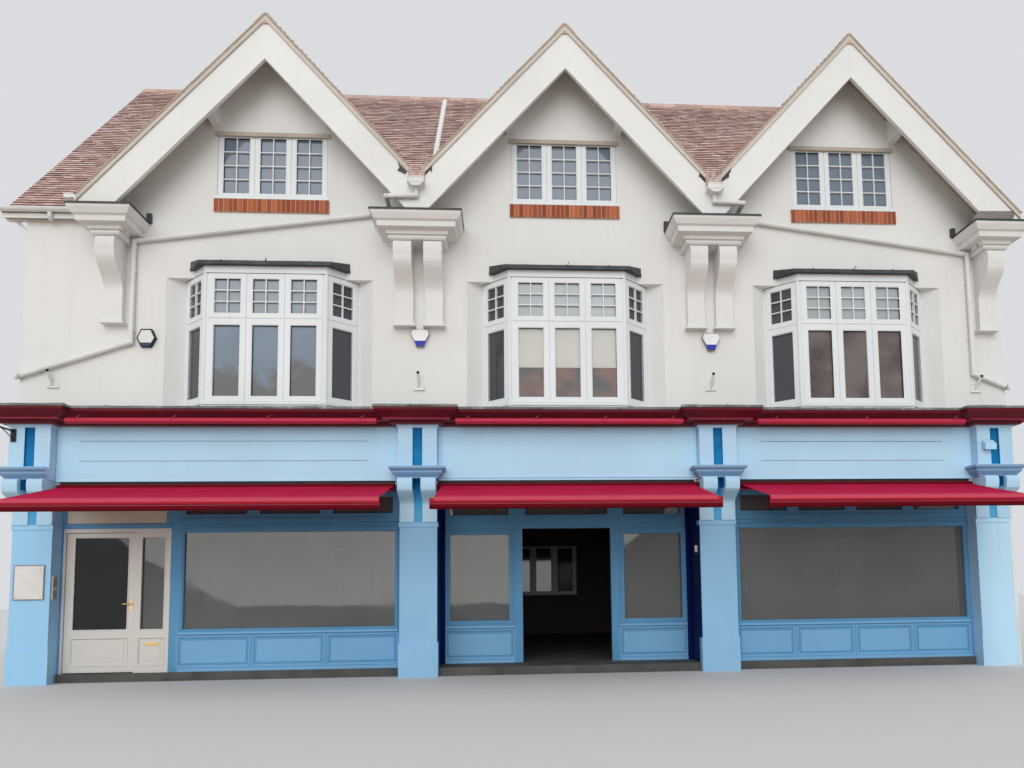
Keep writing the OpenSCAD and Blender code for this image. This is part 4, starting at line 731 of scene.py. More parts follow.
def lay_tiles(shape, at, u_dir, v_dir, u_range, v_range, cuts, seed):
    """Courses of plain tiles on a slope; cuts(u, v) gives the half planes that trim a tile there."""
    rnd = random.Random(seed)
    up = u_dir.cross(v_dir)
    wide, gauge, gap = 0.165, 0.1, 0.0015
    course = 0
    v = v_range[0]
    while v < v_range[1] - 0.01:
        top = min(v + gauge, v_range[1])
        shift = 0.0 if course % 2 else wide / 2
        count = int((u_range[1] - u_range[0] + shift) / wide) + 2
        lean = rnd.uniform(-0.002, 0.002)
        for i in range(count):
            u = u_range[0] - shift + i * wide
            slip = rnd.uniform(-0.0035, 0.0035)
            rect = [
                (u + gap, v + slip), (u + wide - gap, v + slip + rnd.uniform(-0.002, 0.002)),
                (u + wide - gap, top + 0.004), (u + gap, top + 0.004),
            ]
            keep = [(1, 0, u_range[0]), (-1, 0, -u_range[1]), (0, -1, -v_range[1])]
            poly = clipped(rect, keep + cuts(u + wide / 2, v + gauge / 2))
            if len(poly) < 3:
                continue
            low = 0.020 + lean + rnd.uniform(-0.0025, 0.003)
            tilt = rnd.uniform(-0.0025, 0.0025)
            verts = []
            for pu, pv in poly:
                sag = 0.006 * noise.noise(Vector((pu * 0.6, pv * 0.8, seed)))
                rise = low + (pv - v) / gauge * (0.006 - low) + sag + 0.003
                rise += tilt * (pu - u - wide / 2) / wide * 2
                verts.append(at + u_dir * pu + v_dir * pv + up * max(rise, 0.004))
            n = len(verts)
            base = [at + u_dir * pu + v_dir * pv for pu, pv in poly]
            pick = rnd.random()
            shape.add(verts + base, [list(range(n))], 0, pick)
            # The tiles' side faces take the second look, painted darker as painted shade along the courses.
            start = len(shape.verts) - 2 * n
            for k in range(n):
                m = (k + 1) % n
                if poly[k][1] > top - 0.001 and poly[m][1] > top - 0.001:
                    continue
                shape.faces.append([start + k, start + n + k, start + n + m, start + m])
                shape.looks.append(1)
                shape.shades.append(pick)
        course += 1
        v = top


VALLEY = (GABLE_Z - EAVES_Z) / TP
LEAD_GAP = 0.055


def front_cuts(u, v):
    """Half planes that end the front slope's tiles at the gables' valleys."""
    if v * COS > VALLEY + 0.05:
        return []
    u += VERGE[0]
    out = [(1, COS, g + VALLEY + LEAD_GAP - VERGE[0]) for g in GABLES if g <= u][-1:]
    return out + [(-1, COS, -g + VALLEY + LEAD_GAP + VERGE[0]) for g in GABLES if g > u][:1]


TILE_LOOKS = ["tiles", "tile_edges"]
MAIN_U = (0.004, VERGE[1] - VERGE[0] - 0.004)
MAIN_V = (0.0, (DEPTH / 2 + EAVES_OUT) / COS - 0.05)
front_roof = Shape()
lay_tiles(front_roof, Vector((VERGE[0], -EAVES_OUT, EAVES_Z)), Vector((1, 0, 0)), Vector((0, COS, SIN)),
          MAIN_U, MAIN_V, front_cuts, 3)
piece("roof_tiles_front", front_roof, TILE_LOOKS, closed=False)
back_roof = Shape()
lay_tiles(back_roof, Vector((VERGE[1], DEPTH + EAVES_OUT, EAVES_Z)), Vector((-1, 0, 0)),
          Vector((0, -COS, SIN)), MAIN_U, MAIN_V, lambda u, v: [], 5)
piece("roof_tiles_back", back_roof, TILE_LOOKS, closed=False)

# Each slope of a gable: number, apex, side, half width down to its valley or eaves, and whether it has eaves
SLOPES = []
for i, gx in enumerate(GABLES):
    for side in (-1, 1):
        eaves = (i, side) in ((0, -1), (2, 1))
        SLOPES.append((i, gx, side, GABLE_HALF if eaves else PITCH_HALF, eaves))

gable_tiles = Shape()
VALLEY_Y = VALLEY - EAVES_OUT
for i, gx, side, half, eaves in SLOPES:
    cut = (-side, COS, half + LEAD_GAP + (TILE_Y - VALLEY_Y if side > 0 else 0.0))
    at = Vector((gx + side * half, TILE_Y if side > 0 else VALLEY_Y, GABLE_Z - TP * half))
    span = (0.0 if eaves else 0.075, half / COS - 0.02)
    lay_tiles(gable_tiles, at, Vector((0, side, 0)), Vector((-side * COS, 0, SIN)), (0.0, VALLEY_Y - TILE_Y),
              span, lambda u, v, c=cut: [c], i + (11 if side > 0 else 21))
piece("roof_tiles_gables", gable_tiles, TILE_LOOKS, closed=False)


# Ridge tiles, laid one by one on mortar
def ridge_run(shape, start, step, cross, count, length, rnd):
    """Angled caps along a ridge: cross points level across it."""
    half = [(0.0, 0.0205), (0.022, 0.0195), (0.045, 0.0005), (0.085, -0.0455), (0.160, -0.1295)]
    outline = [(-a, b) for a, b in reversed(half)] + half[1:] + [(0.160, -0.1615), (-0.160, -0.1615)]
    for k in range(count):
        drop = UP * -abs(rnd.gauss(0, 0.0025))
        wide = 1 + rnd.uniform(-0.02, 0.02)
        ends = [start + drop + step * t for t in (k * length + 0.003, (k + 1) * length - 0.003)]
        rings = [[p + cross * (x * wide) + UP * z for x, z in outline] for p in ends]
        shape.sweep(rings, 0, rnd.random() * 0.55)
    for s in (-1, 1):
        verts = [start + cross * (0.150 * s) + UP * -0.1545, start + cross * (0.172 * s) + UP * -0.1765]
        verts += [v + step * (count * length) for v in verts]
        verts += [v + UP * 0.02 for v in verts]
        shape.add(verts, [(4, 5, 7, 6), (5, 1, 3, 7)], 1)


MAIN_CAPS, GABLE_CAPS = 55, 11
rnd = random.Random(8)
ridges = Shape()
ridge_run(ridges, Vector((VERGE[0] + 0.002, DEPTH / 2, RIDGE_Z)), Vector((1, 0, 0)), Vector((0, 1, 0)),
          MAIN_CAPS, (VERGE[1] - VERGE[0] - 0.004) / MAIN_CAPS, rnd)
for gx in GABLES:
    ridge_run(ridges, Vector((gx, TILE_Y, GABLE_Z)), Vector((0, 1, 0)), Vector((-1, 0, 0)),
              GABLE_CAPS, (VALLEY_Y - TILE_Y + 0.05) / GABLE_CAPS, rnd)
piece("ridge_caps", ridges, ["tiles", "mortar"], replaces="ridge_tiles")


# Lead in the valleys and at the feet of the Vs
def strip_quad(shape, a, b, side, lift):
    """A thin strip from a to b that spreads as far as side, raised along lift."""
    verts = [a + lift, b + lift, b + side + lift, a + side + lift]
    shape.sweep([[v - lift * 0.6 for v in verts], verts])


valleys = Shape()
for i, gx, side, half, eaves in SLOPES:
    a = Vector((gx + side * half, VALLEY_Y - half, GABLE_Z - TP * half))
    b = Vector((gx, VALLEY_Y, GABLE_Z))
    main_up = Vector((0, -SIN, COS))
    gable_up = Vector((side * SIN, 0, COS))
    along = (b - a).normalized() * side * 0.13
    strip_quad(valleys, a, b, along.cross(main_up), main_up * 0.012)
    strip_quad(valleys, a, b, gable_up.cross(along), gable_up * 0.012)
for x in BRACKETS[1:3]:
    for side in (-1, 1):
        a = Vector((x, TILE_Y + 0.03, VALLEY_Z))
        b = Vector((x, VALLEY_Y - PITCH_HALF + 0.02, VALLEY_Z))
        strip_quad(valleys, a, b, Vector((side * COS, 0, SIN)) * 0.14, Vector((-side * SIN, 0, COS)) * 0.012)

# Flaps dressed over the tiles' ends, each bent its own way: (across, up) from the bottom of the V
FLAPS = (
    (BRACKETS[1], [(-0.300, 0.200), (-0.150, 0.040), (-0.179, -0.005), (-0.302, 0.056), (-0.270, 0.110)]),
    (BRACKETS[1], [(0.110, 0.010), (0.245, 0.150), (0.236, 0.036), (0.210, 0.075), (0.105, -0.045)]),
    (BRACKETS[2], [(-0.220, 0.125), (-0.110, 0.005), (-0.125, -0.040), (-0.224, 0.070), (-0.245, 0.060)]),
    (BRACKETS[2], [(0.120, 0.015), (0.300, 0.215), (0.296, 0.165), (0.262, 0.120), (0.268, 0.075),
                   (0.130, -0.020)]),
)
for x, rim in FLAPS:
    valleys.plate(rim, (x, VALLEY_Z), BARGE_Y + 0.001, BARGE_Y - 0.006)
piece("valley_lead", valleys, ["lead"])

# The lowest courses in the mouths of the valleys, over the hoppers
mouths = Shape()
rnd = random.Random(9)
for x in BRACKETS[1:3]:
    for k in range(9):
        z = VALLEY_Z - 0.108 + k * 0.030
        tilt = rnd.uniform(-0.002, 0.002)
        for t in (-0.088, 0.0, 0.088):
            wide = 0.0415 - rnd.uniform(0.0, 0.003)
            low = [(x + t - wide, TILE_Y - 0.008, z), (x + t + wide, TILE_Y - 0.008, z + tilt),
                   (x + t + wide, TILE_Y + 0.05, z + tilt), (x + t - wide, TILE_Y + 0.05, z)]
            high = [(a, b + (0.011 if b < TILE_Y else 0), c + 0.0285) for a, b, c in low]
            mouths.sweep([low, high], 0, rnd.random())
piece("valley_mouths", mouths, ["tiles"])

# White fillet up the roof's slope
fillet = Shape()
a = Vector((-2.30, 0.55, EAVES_Z + TP * 0.67))
b = Vector((-2.30, DEPTH / 2 - 0.15, EAVES_Z + TP * (DEPTH / 2 - 0.15 + EAVES_OUT)))
up = Vector((0, -SIN, COS))
rows = 40
section = ((-0.05, 0.008), (-0.05, 0.020), (-0.028, 0.042), (0.028, 0.044), (0.05, 0.020), (0.05, 0.008))
rings = []
for k in range(rows + 1):
    wob = 0.006 * noise.noise(Vector((k * 0.7, 0, 2)))
    ring = []
    for du, dh in section:
        rise = dh + 0.004 * noise.noise(Vector((k * 1.3, du * 30, 5)))
        ring.append(a.lerp(b, k / rows) + Vector((du + wob, 0, 0)) + up * rise)
    rings.append(ring)
fillet.sweep(rings)
piece("slope_fillet", fillet, ["white"], smooth=True)


# Verges: the end tiles, their mortar, and a bead along the boards
def along_gables(shape, y, outs, look=0, toe=0.0, feet=(0.02, 0.02)):
    """A strip on the front of the gables, over each apex: outs are (upright drop, stand out) pairs."""
    for i, gx in enumerate(GABLES):
        left = GABLE_HALF - feet[0] if i == 0 else PITCH_HALF - toe
        right = GABLE_HALF - feet[1] if i == 2 else PITCH_HALF - toe
        rings = []
        for x in (-left, 0.0, right):
            rings.append([(gx + x, y - out, GABLE_Z - TP * abs(x) - drop) for drop, out in outs])
        shape.sweep(rings, look)


verge = Shape()
along_gables(verge, TILE_Y, [(-0.016, -0.02), (-0.016, 0.012), (0.004, 0.014), (0.004, -0.02)], 0, 0.12)
along_gables(verge, TILE_Y, [(0.004, -0.004), (0.004, 0.006), (0.030, 0.008), (0.036, -0.004)], 1, 0.12)
along_gables(verge, TILE_Y, [(0.040, -0.004), (0.044, 0.004), (0.100, 0.004), (0.109, -0.004)], 2, 0.12)
verge.box((-7.70, -0.548, 7.372), (-7.541, -0.400, 7.432), 3)
piece("verge_bands", verge, ["verge_tile", "mortar", "verge", "white"])

# Rough mortar between the last board's foot and the lead below it
bed = Shape()
rim = [(6.690, 7.242), (6.723, 7.339), (6.816, 7.452), (7.462, 7.465), (7.420, 7.360), (7.350, 7.242)]
bed.plate(rim, (0.0, 0.0), BARGE_Y + 0.001, BARGE_Y - 0.004)
rnd = random.Random(15)
for k in range(60):
    x, z = rnd.uniform(6.80, 7.38), rnd.uniform(7.27, 7.44)
    if z > 7.30 + (x - 6.70) * 1.3:
        continue
    r = rnd.uniform(0.008, 0.022)
    bed.plate([(r * math.cos(t), r * 0.8 * math.sin(t)) for t in range(6)], (x, z), BARGE_Y - 0.002,
              BARGE_Y - 0.006 - r * 0.3, 0, 0.6)
piece("mortar_bed", bed, ["rough_bed"])

boards = Shape()
along_gables(boards, BARGE_Y, [(0.700, -0.002), (0.702, 0.008), (0.738, 0.008), (0.745, -0.002)], 0, 0.45,
             (0.50, 0.83))
piece("barge_beads", boards, ["white"])

# Brick courses under the attic windows
courses = Shape()
rnd = random.Random(4)
for gx in GABLES:
    half = 0.912
    z0, z1 = 7.44, 7.66
    courses.box((gx - half, -0.028, z0), (gx + half, -0.0005, z1), 1)
    count = 24
    pitch = 2 * half / count
    for k in range(count):
        x = gx - half + k * pitch
        out = 0.0335 + rnd.uniform(-0.0015, 0.0012)
        j = rnd.uniform(-0.0012, 0.0012)
        low = [(x + 0.005 + j, -out, z0 + 0.004), (x + pitch - 0.005 + j, -out, z0 + 0.004)]
        low += [(x + pitch - 0.005, -0.02, z0 + 0.004), (x + 0.005, -0.02, z0 + 0.004)]
        high = [(a, b, z1 - 0.003) for a, b, c in low]
        courses.sweep([low, high], 0, rnd.random())
piece("brick_courses", courses, ["brick", "mortar"], bevel=0.003, replaces="brick_sills")


# Sashes and glazing bars
def sash(shape, plane, outer, light, bars_u=0, bars_z=0, out=0.012, deep=0.035):
    """A sash frame from its outer edge to the light in it, with glazing bars."""
    shape.frame(plane, outer, light, [(0.0, -0.004), (0.0, out - 0.003), (0.05, out), (0.86, out),
                                      (1.0, out - 0.008), (1.0, -deep), (0.9, -deep)])
    u0, u1, z0, z1 = light
    bar = 0.008
    for k in range(1, bars_u + 1):
        c = u0 + (u1 - u0) * k / (bars_u + 1)
        shape.slab(plane, (c - bar, c + bar), (z0 - 0.004, z1 + 0.004), (-deep + 0.002, out - 0.006))
    for k in range(1, bars_z + 1):
        c = z0 + (z1 - z0) * k / (bars_z + 1)
        shape.slab(plane, (u0 - 0.004, u1 + 0.004), (c - bar, c + bar), (-deep + 0.002, out - 0.007))


def three_sashes(shape, plane, z, h):
    for c in (-0.58, 0.0, 0.58):
        outer = (c - 0.2875, c + 0.2875, z + 0.05, z + h - 0.012)
        sash(shape, plane, outer, (c - 0.2025, c + 0.2025, z + 0.097, z + h - 0.048), 1, 3)


attic = Shape()
for gx in GABLES:
    three_sashes(attic, Plane((gx, 0.025)), 7.68, 1.075)
    attic.slab(Plane((gx, 0.0)), (-0.90, 0.90), (7.661, 7.690), (-0.02, 0.030))
    attic.slab(Plane((gx, 0.0)), (-0.885, 0.885), (7.690, 7.722), (-0.03, 0.004))
piece("attic_casements", attic, ["frame_white"], bevel=0.0015)

others = Shape()
rows = []
for z in (1.15, 4.95):
    rows += [((gx, DEPTH), (-1, 0), z, 1.3) for gx in GABLES]
    for y in (2.6, 6.4):
        rows += [((WALL[0], y), (0, -1), z, 1.3), ((WALL[1], y), (0, 1), z, 1.3)]
rows += [((x, DEPTH / 2), (0, way), 7.68, 1.075) for x, way in zip(WALL, (-1, 1))]
for at, along, z, h in rows:
    wall = Plane(at, along)
    inner = wall.point(0, -0.025, 0)
    three_sashes(others, Plane((inner.x, inner.y), along), z, h)
    others.slab(wall, (-0.93, 0.93), (z - 0.06, z + 0.004), (-0.03, 0.05), 1)
piece("side_casements", others, ["frame_white", "render"], bevel=0.0015)

# Bay windows: sashes, corner posts, sills, and dark strips of painted shadow below the sills and at the joint
# under the white fascia
bays = Shape()
side_u = Vector((BAY_HALF - BAY_FRONT, -(BAY_REACH + BAY_BACK), 0))
side_len = side_u.length
side_along = (side_u.x / side_len, side_u.y / side_len)
POST_R = 0.034
for gx in GABLES:
    front = Plane((gx, -BAY_REACH))
    x, y = (BAY_HALF + BAY_FRONT) / 2, (BAY_BACK - BAY_REACH) / 2
    left = Plane((gx - x, y), side_along)
    right = Plane((gx + x, y), (side_along[0], -side_along[1]))
    lights = [(front, c, 0.291, LIGHT_W / 2) for c in (-LIGHT_PITCH, 0.0, LIGHT_PITCH)]
    lights += [(left, 0.0, 0.262, SIDE_LIGHT_W / 2), (right, 0.0, 0.262, SIDE_LIGHT_W / 2)]
    for plane, c, reach, half in lights:
        sash(bays, plane, (c - reach, c + reach, 5.615, 6.334), (c - half, c + half, 5.700, 6.245), 1, 2)
        sash(bays, plane, (c - reach, c + reach, 4.290, 5.606), (c - half, c + half, 4.375, 5.500))
    for plane, half in ((front, BAY_FRONT), (left, side_len / 2), (right, side_len / 2)):
        # Dark strips below the sills and under the white fascia: painted shadow.
        for z0, z1, out, look in ((4.236, 4.282, 0.036, 0), (4.206, 4.236, 0.014, 0),
                                  (4.177, 4.206, 0.002, 1), (6.335, 6.341, 0.016, 1)):
            bays.slab(plane, (-half, half), (z0, z1), (-0.01, out), look)
    for s in (-1, 1):
        x = gx + s * BAY_FRONT
        y = -BAY_REACH + 0.014
        bays.tube([(x, y, 4.205), (x, y, 6.335)], POST_R, 16)
piece("bay_sashes", bays, ["frame_white", "brown"], bevel=0.0015)


# Sheet lead, dressed over edges along a plan line
def plan_run(corners, step):
    """Points (x, y, out_x, out_y) along plan corners that carry their own mitres."""
    points = []
    for a, b in zip(corners, corners[1:]):
        dx, dy = b[0] - a[0], b[1] - a[1]
        length = math.hypot(dx, dy)
        steps = max(1, round(length / step))
        points.append(a)
        for i in range(1, steps):
            t = i / steps
            points.append((a[0] + dx * t, a[1] + dy * t, dy / length, -dx / length))
    points.append(corners[-1])
    return points


def dressed(shape, points, profile, rough, seed):
    """A strip of lead with an uneven surface; profile gives (out, z, share of the unevenness)."""
    rings = []
    for x, y, ox, oy in points:
        bow = noise.noise(Vector((x * 1.9, y * 1.9, seed)))
        ring = []
        for out, z, give in profile:
            fine = noise.noise(Vector((x * 8, y * 8, seed + z * 9)))
            away = out + give * rough * 0.3 * fine
            ring.append((x + away * ox, y + away * oy, z + give * rough * (bow + 0.4 * fine)))
        rings.append(ring)
    shape.sweep(rings)


bay_lead = Shape()
BAY_END = 1.255
LEAN = math.atan2(0.32, BAY_END - 1.02)
SKIRT = [(0.0, 6.508, 0.3), (0.004, 6.513, 0.3), (0.007, 6.505, 0.5), (0.005, 6.475, 0.8),
         (0.009, 6.452, 1.0), (0.002, 6.450, 1.0)]
for gx in GABLES:
    mitre = math.tan(LEAN / 2)
    corners = [(gx - BAY_END, 0.0, -math.sin(LEAN), -math.cos(LEAN)), (gx - 1.02, -0.32, -mitre, -1.0),
               (gx + 1.02, -0.32, mitre, -1.0), (gx + BAY_END, 0.0, math.sin(LEAN), -math.cos(LEAN))]
    dressed(bay_lead, plan_run(corners, 0.08), SKIRT, 0.006, gx)
    for s in (-0.68, 0.0, 0.68):
        bay_lead.tube([(gx + s, -0.01, 6.600), (gx + s, -0.30, 6.522), (gx + s, -0.322, 6.490)], 0.012, 8)
    hook = ((-0.318, 6.53), (-0.332, 6.555), (-0.350, 6.545), (-0.345, 6.515))
    bay_lead.tube([(gx + 0.02, y, z) for y, z in hook], 0.006, 8, 1)
    for s in (-1, 1):
        x = gx + s * (BAY_END - 0.04)
        bay_lead.box((x - 0.030, -0.012, 6.50), (x + 0.030, -0.001, 6.60))
for x, z0, z1 in ((-6.650, 7.226, 7.374), (1.688, 7.254, 7.401), (6.645, 7.230, 7.370)):
    bay_lead.box((x - 0.035, -0.060, z0), (x + 0.035, -0.001, z1))
piece("bay_lead_edges", bay_lead, ["lead", "black"], smooth=True)


def cornice_corners(half, back, fore):
    """Plan corners of a line that breaks forward over the piers."""
    out = [(PIERS[0] - half, 0.0, -1.0, 0.0)]
    for i, x in enumerate(PIERS):
        if i:
            out.append((x - half, back, -1.0, -1.0))
        out += [(x - half, fore, -1.0, -1.0), (x + half, fore, 1.0, -1.0)]
        if i < 3:
            out.append((x + half, back, 1.0, -1.0))
    out.append((PIERS[3] + half, 0.0, 1.0, 0.0))
    return out


lead = Shape()
edge = plan_run(cornice_corners(0.647, -0.497, -0.672), 0.11)
dressed(lead, edge, [(-0.020, 4.118, 0.0), (0.0, 4.119, 0.2), (0.0, 4.140, 0.8), (-0.006, 4.157, 1.0),
                     (-0.030, 4.164, 0.8), (-0.120, 4.166, 0.5), (-0.300, 4.168, 0.4), (-0.300, 4.130, 0.0)],
        0.010, 3.0)
lead.box((PIERS[0] - 0.60, -0.40, CORNICE_TOP + 0.003), (PIERS[3] + 0.60, -0.001, 4.158))
rnd = random.Random(6)
for x in (-8.5, -7.0, -5.2, -3.9, -2.45, -0.7, 0.9, 2.45, 4.1, 5.6, 6.9):
    y0 = -0.66 if min(abs(x - p) for p in PIERS) < 0.6 else -0.49
    pts = []
    for k in range(7):
        pts.append((x + 0.01 * math.sin(k / 2), y0 * k / 6 - 0.001, 4.163 + 0.003 * math.sin(k * 2 / 3)))
    lead.tube(pts, [0.008 + 0.002 * rnd.random() for _ in pts], 10)
rnd = random.Random(12)
for k in range(34):
    i = rnd.randrange(2, len(edge) - 2)
    x, y, ox, oy = edge[i]
    if abs(ox) > 0.1 or y > -0.45:
        continue
    w, lift = rnd.uniform(0.03, 0.10), rnd.uniform(0.004, 0.009)
    verts = [(x - w, y + 0.001, 4.146), (x + w, y + 0.001, 4.146), (x + w * 0.4, y - 0.010, 4.128 - lift),
             (x - w * 0.5, y - 0.009, 4.130 - lift), (x - w, y + 0.012, 4.146), (x + w, y + 0.012, 4.146),
             (x + w * 0.4, y + 0.003, 4.128 - lift), (x - w * 0.5, y + 0.003, 4.130 - lift)]
    lead.sweep([verts[:4], verts[4:]])
piece("cornice_lead_sheet", lead, ["old_lead"], smooth=True, replaces="cornice_lead")

# Two beads on the cornice; the upper one is painted a brighter red as a painted highlight
beads = Shape()
for out, z, r, look in ((0.212, 3.964, 0.007, 0), (0.120, 3.943, 0.006, 1)):
    ring = [(out + r * math.cos(t * math.pi / 4), z + r * math.sin(t * math.pi / 4)) for t in range(8)]
    corners = cornice_corners(0.30, -0.15, -0.325)
    beads.sweep([[(x + u * ox, y + u * oy, v) for u, v in ring] for x, y, ox, oy in corners], look)
piece("cornice_beads", beads, ["bead_red", "crimson"])

RAILS = ((-7.785, -2.745), (-2.067, 2.067), (2.745, 6.610))
CLOTHS = ((-7.770, -2.760), (-2.007, 2.007), (2.760, 6.595))

# Fascia boards: cover beads, painted lines, a little white box, and black boards under them as painted shade
FASCIA = Plane((0.0, FASCIA_Y))
trim = Shape()
LINES = (((-7.51, -3.16), (3.366, 3.676)), (None, ()), ((3.13, 6.19), (3.350, 3.664)))
for i, (line, heights) in enumerate(LINES):
    u = (PIERS[i] + 0.305, PIERS[i + 1] - 0.305)
    for z0, z1, out in ((3.050, 3.074, 0.010), (3.074, 3.082, 0.005),
                        (3.845, 3.904, 0.016), (3.822, 3.845, 0.008)):
        trim.slab(FASCIA, u, (z0, z1), (-0.005, out))
    if i == 1:
        # A dark line between the two beads at the middle fascia's foot: painted shade.
        trim.slab(FASCIA, u, (3.082, 3.088), (-0.005, 0.004), 1)
        trim.slab(FASCIA, u, (3.088, 3.112), (-0.005, 0.009))
    for z in heights:
        trim.slab(FASCIA, line, (z, z + 0.009), (-0.002, 0.0016), 1)
trim.slab(FASCIA, (2.014, 2.077), (3.012, 3.078), (-0.002, 0.040), 2)
trim.slab(FASCIA, (2.026, 2.065), (3.024, 3.052), (0.038, 0.046), 3)
# Black boards between each fascia and the cassette below: painted shade.
for x0, x1 in RAILS:
    trim.box((x0, -0.142, 2.9995), (x1, -0.0605, 3.0495), 3)
piece("fascia_trim", trim, ["fascia", "line_blue", "plastic", "black"], bevel=0.002)

# Little arms that hold the trough lights
hooks = Shape()
for x0, x1 in ((-7.62, -2.95), (-1.85, 1.85), (3.00, 6.45)):
    count = round((x1 - x0) / 1.45)
    for k in range(count + 1):
        x = x0 + 0.25 + (x1 - x0 - 0.5) * k / count
        hooks.tube([(x - 0.035, -0.550, 3.936), (x, -0.553, 3.970), (x + 0.037, -0.535, 4.004)], 0.0065, 8)
piece("trough_arms", hooks, ["bead_red"], smooth=True)

# Dark boxes in the spaces between the dentils of the blocks: painted shade
dentil_shade_boxes = Shape()
for i, x in enumerate(BRACKETS):
    middles = (-0.09375, 0.09375) if i in (0, 3) else (-0.28335, 0.0, 0.28335)
    half = 0.0335 if i in (0, 3) else 0.0815
    for t in middles:
        dentil_shade_boxes.box((x + t - half, -0.4385, 6.924), (x + t + half, -0.4356, 6.985))
piece("dentil_gaps", dentil_shade_boxes, ["gap"])

# Recesses between the strips of the heads, and between the small brackets
recess = Shape()
for x in PIERS:
    recess.box((x - 0.0735, -0.2885, 3.246), (x + 0.0735, -0.2830, 3.861))
    recess.box((x - 0.0645, -0.1565, 2.396), (x + 0.0645, -0.1500, 3.064))
    for s in (-1, 1):
        recess.box((x + s * 0.0745 - 0.001, -0.318, 3.246), (x + s * 0.0745 + 0.001, -0.286, 3.861))
        recess.box((x + s * 0.0650 - 0.001, -0.40, 2.90), (x + s * 0.0650 + 0.001, -0.155, 3.060))
piece("pier_recesses", recess, ["recess"])

# Dark boards on the lobby's sides, with a small white box on the right one
lobby = Shape()
for s in (-1, 1):
    x = s * 2.085
    a, b = sorted((x, x - s * 0.007))
    lobby.box((a, -0.13, 0.131), (b, 0.598, 2.995))
    a, b = sorted((x - s * 0.007, x - s * 0.073))
    lobby.box((a, 0.560, 0.131), (b, 0.599, 2.995))
lobby.box((2.040, 0.020, 1.890), (2.079, 0.062, 2.000), 1)
piece("lobby_boards", lobby, ["navy", "plastic"], bevel=0.003)


# Shopfront joinery
def panel_mould(shape, plane, u, z, look=0):
    """Raised moulding round a sunk panel."""
    shape.ring(plane, u, z, [
        (-0.022, -0.002), (-0.020, 0.006), (-0.008, 0.009), (0.0, 0.004), (0.006, -0.006), (0.016, -0.0135),
    ], look)


def glass_mould(shape, plane, u, z):
    """Stepped beads round a shop window."""
    shape.ring(plane, u, z, [
        (-0.045, -0.002), (-0.043, 0.012), (-0.026, 0.014), (-0.022, 0.007), (-0.008, 0.007),
        (-0.004, -0.006), (0.006, -0.010), (0.006, -0.04), (-0.02, -0.04),
    ])


def bead(shape, plane, u, z, wide, out=0.004, deep=0.03):
    """A flat frame inside an opening, wide at the sides and as deep as given."""
    shape.ring(plane, u, z, [
        (-0.003, -deep), (-0.003, out), (wide * 0.75, out), (wide, out - 0.010), (wide, -deep),
    ])


def transom_mould(shape, plane, u):
    """The run of mouldings between the shop windows and the lights over them."""
    for z0, z1, out in ((2.300, 2.325, 0.022), (2.325, 2.352, 0.012), (2.358, 2.378, 0.030),
                        (2.384, 2.412, 0.018), (2.436, 2.462, 0.034), (2.462, 2.500, 0.022)):
        shape.slab(plane, u, (z0, z1), (-0.004, out))


def parts(u0, u1, n, bar):
    w = (u1 - u0 - (n - 1) * bar) / n
    return [(u0 + k * (w + bar), u0 + k * (w + bar) + w) for k in range(n)]


joinery = Shape()
shop = Plane((0.0, FRONT_Y))
lob = Plane((0.0, LOBBY_Y))
GLASS_Z = (0.775, 2.290)
RISER_Z = (0.210, 0.655)
TRANSOM_Z = (2.525, 2.880)
LEFT_GLASS = (-6.025, -2.765)
RIGHT_GLASS = (2.795, 6.620)
MID_LEFT = (-1.985, -0.920)
MID_RIGHT = (0.920, 1.985)
fronts = [
    (shop, LEFT_GLASS, parts(-6.085, -2.725, 3, 0.06), parts(-6.065, -2.765, 3, 0.10)),
    (shop, RIGHT_GLASS, parts(2.735, 6.640, 4, 0.06), parts(2.795, 6.620, 4, 0.10)),
    (lob, MID_LEFT, [(MID_LEFT[0] - 0.03, MID_LEFT[1] + 0.03)], [MID_LEFT]),
    (lob, MID_RIGHT, [(MID_RIGHT[0] - 0.03, MID_RIGHT[1] + 0.03)], [MID_RIGHT]),
]
for plane, glass, panels, upper in fronts:
    glass_mould(joinery, plane, glass, GLASS_Z)
    if plane is lob:
        bead(joinery, plane, glass, GLASS_Z, 0.047)
    for u in upper:
        bead(joinery, plane, u, TRANSOM_Z, 0.048, -0.004, 0.034)
    for u in panels:
        panel_mould(joinery, plane, u, RISER_Z, 1)
        joinery.slab(plane, (u[0] + 0.05, u[1] - 0.05), (RISER_Z[0] + 0.05, RISER_Z[1] - 0.05),
                     (-0.016, -0.009), 1)
    joinery.slab(plane, (glass[0] - 0.05, glass[1] + 0.05), (0.700, 0.735), (-0.004, 0.030), 1)
    joinery.slab(plane, (glass[0] - 0.05, glass[1] + 0.05), (0.131, 0.185), (-0.004, 0.018), 1)
bead(joinery, lob, (-0.74, 0.74), TRANSOM_Z, 0.048, -0.004, 0.034)
transom_mould(joinery, shop, (-6.09, PIERS[1] - PIER_HALF))
transom_mould(joinery, shop, (PIERS[2] + PIER_HALF, PIERS[3] - PIER_HALF))
joinery.slab(shop, (-7.835, -6.225), (2.362, 2.424), (-0.004, 0.012))
piece("shopfront_mouldings", joinery, ["dusk_blue", "panel_blue"], bevel=0.0015)

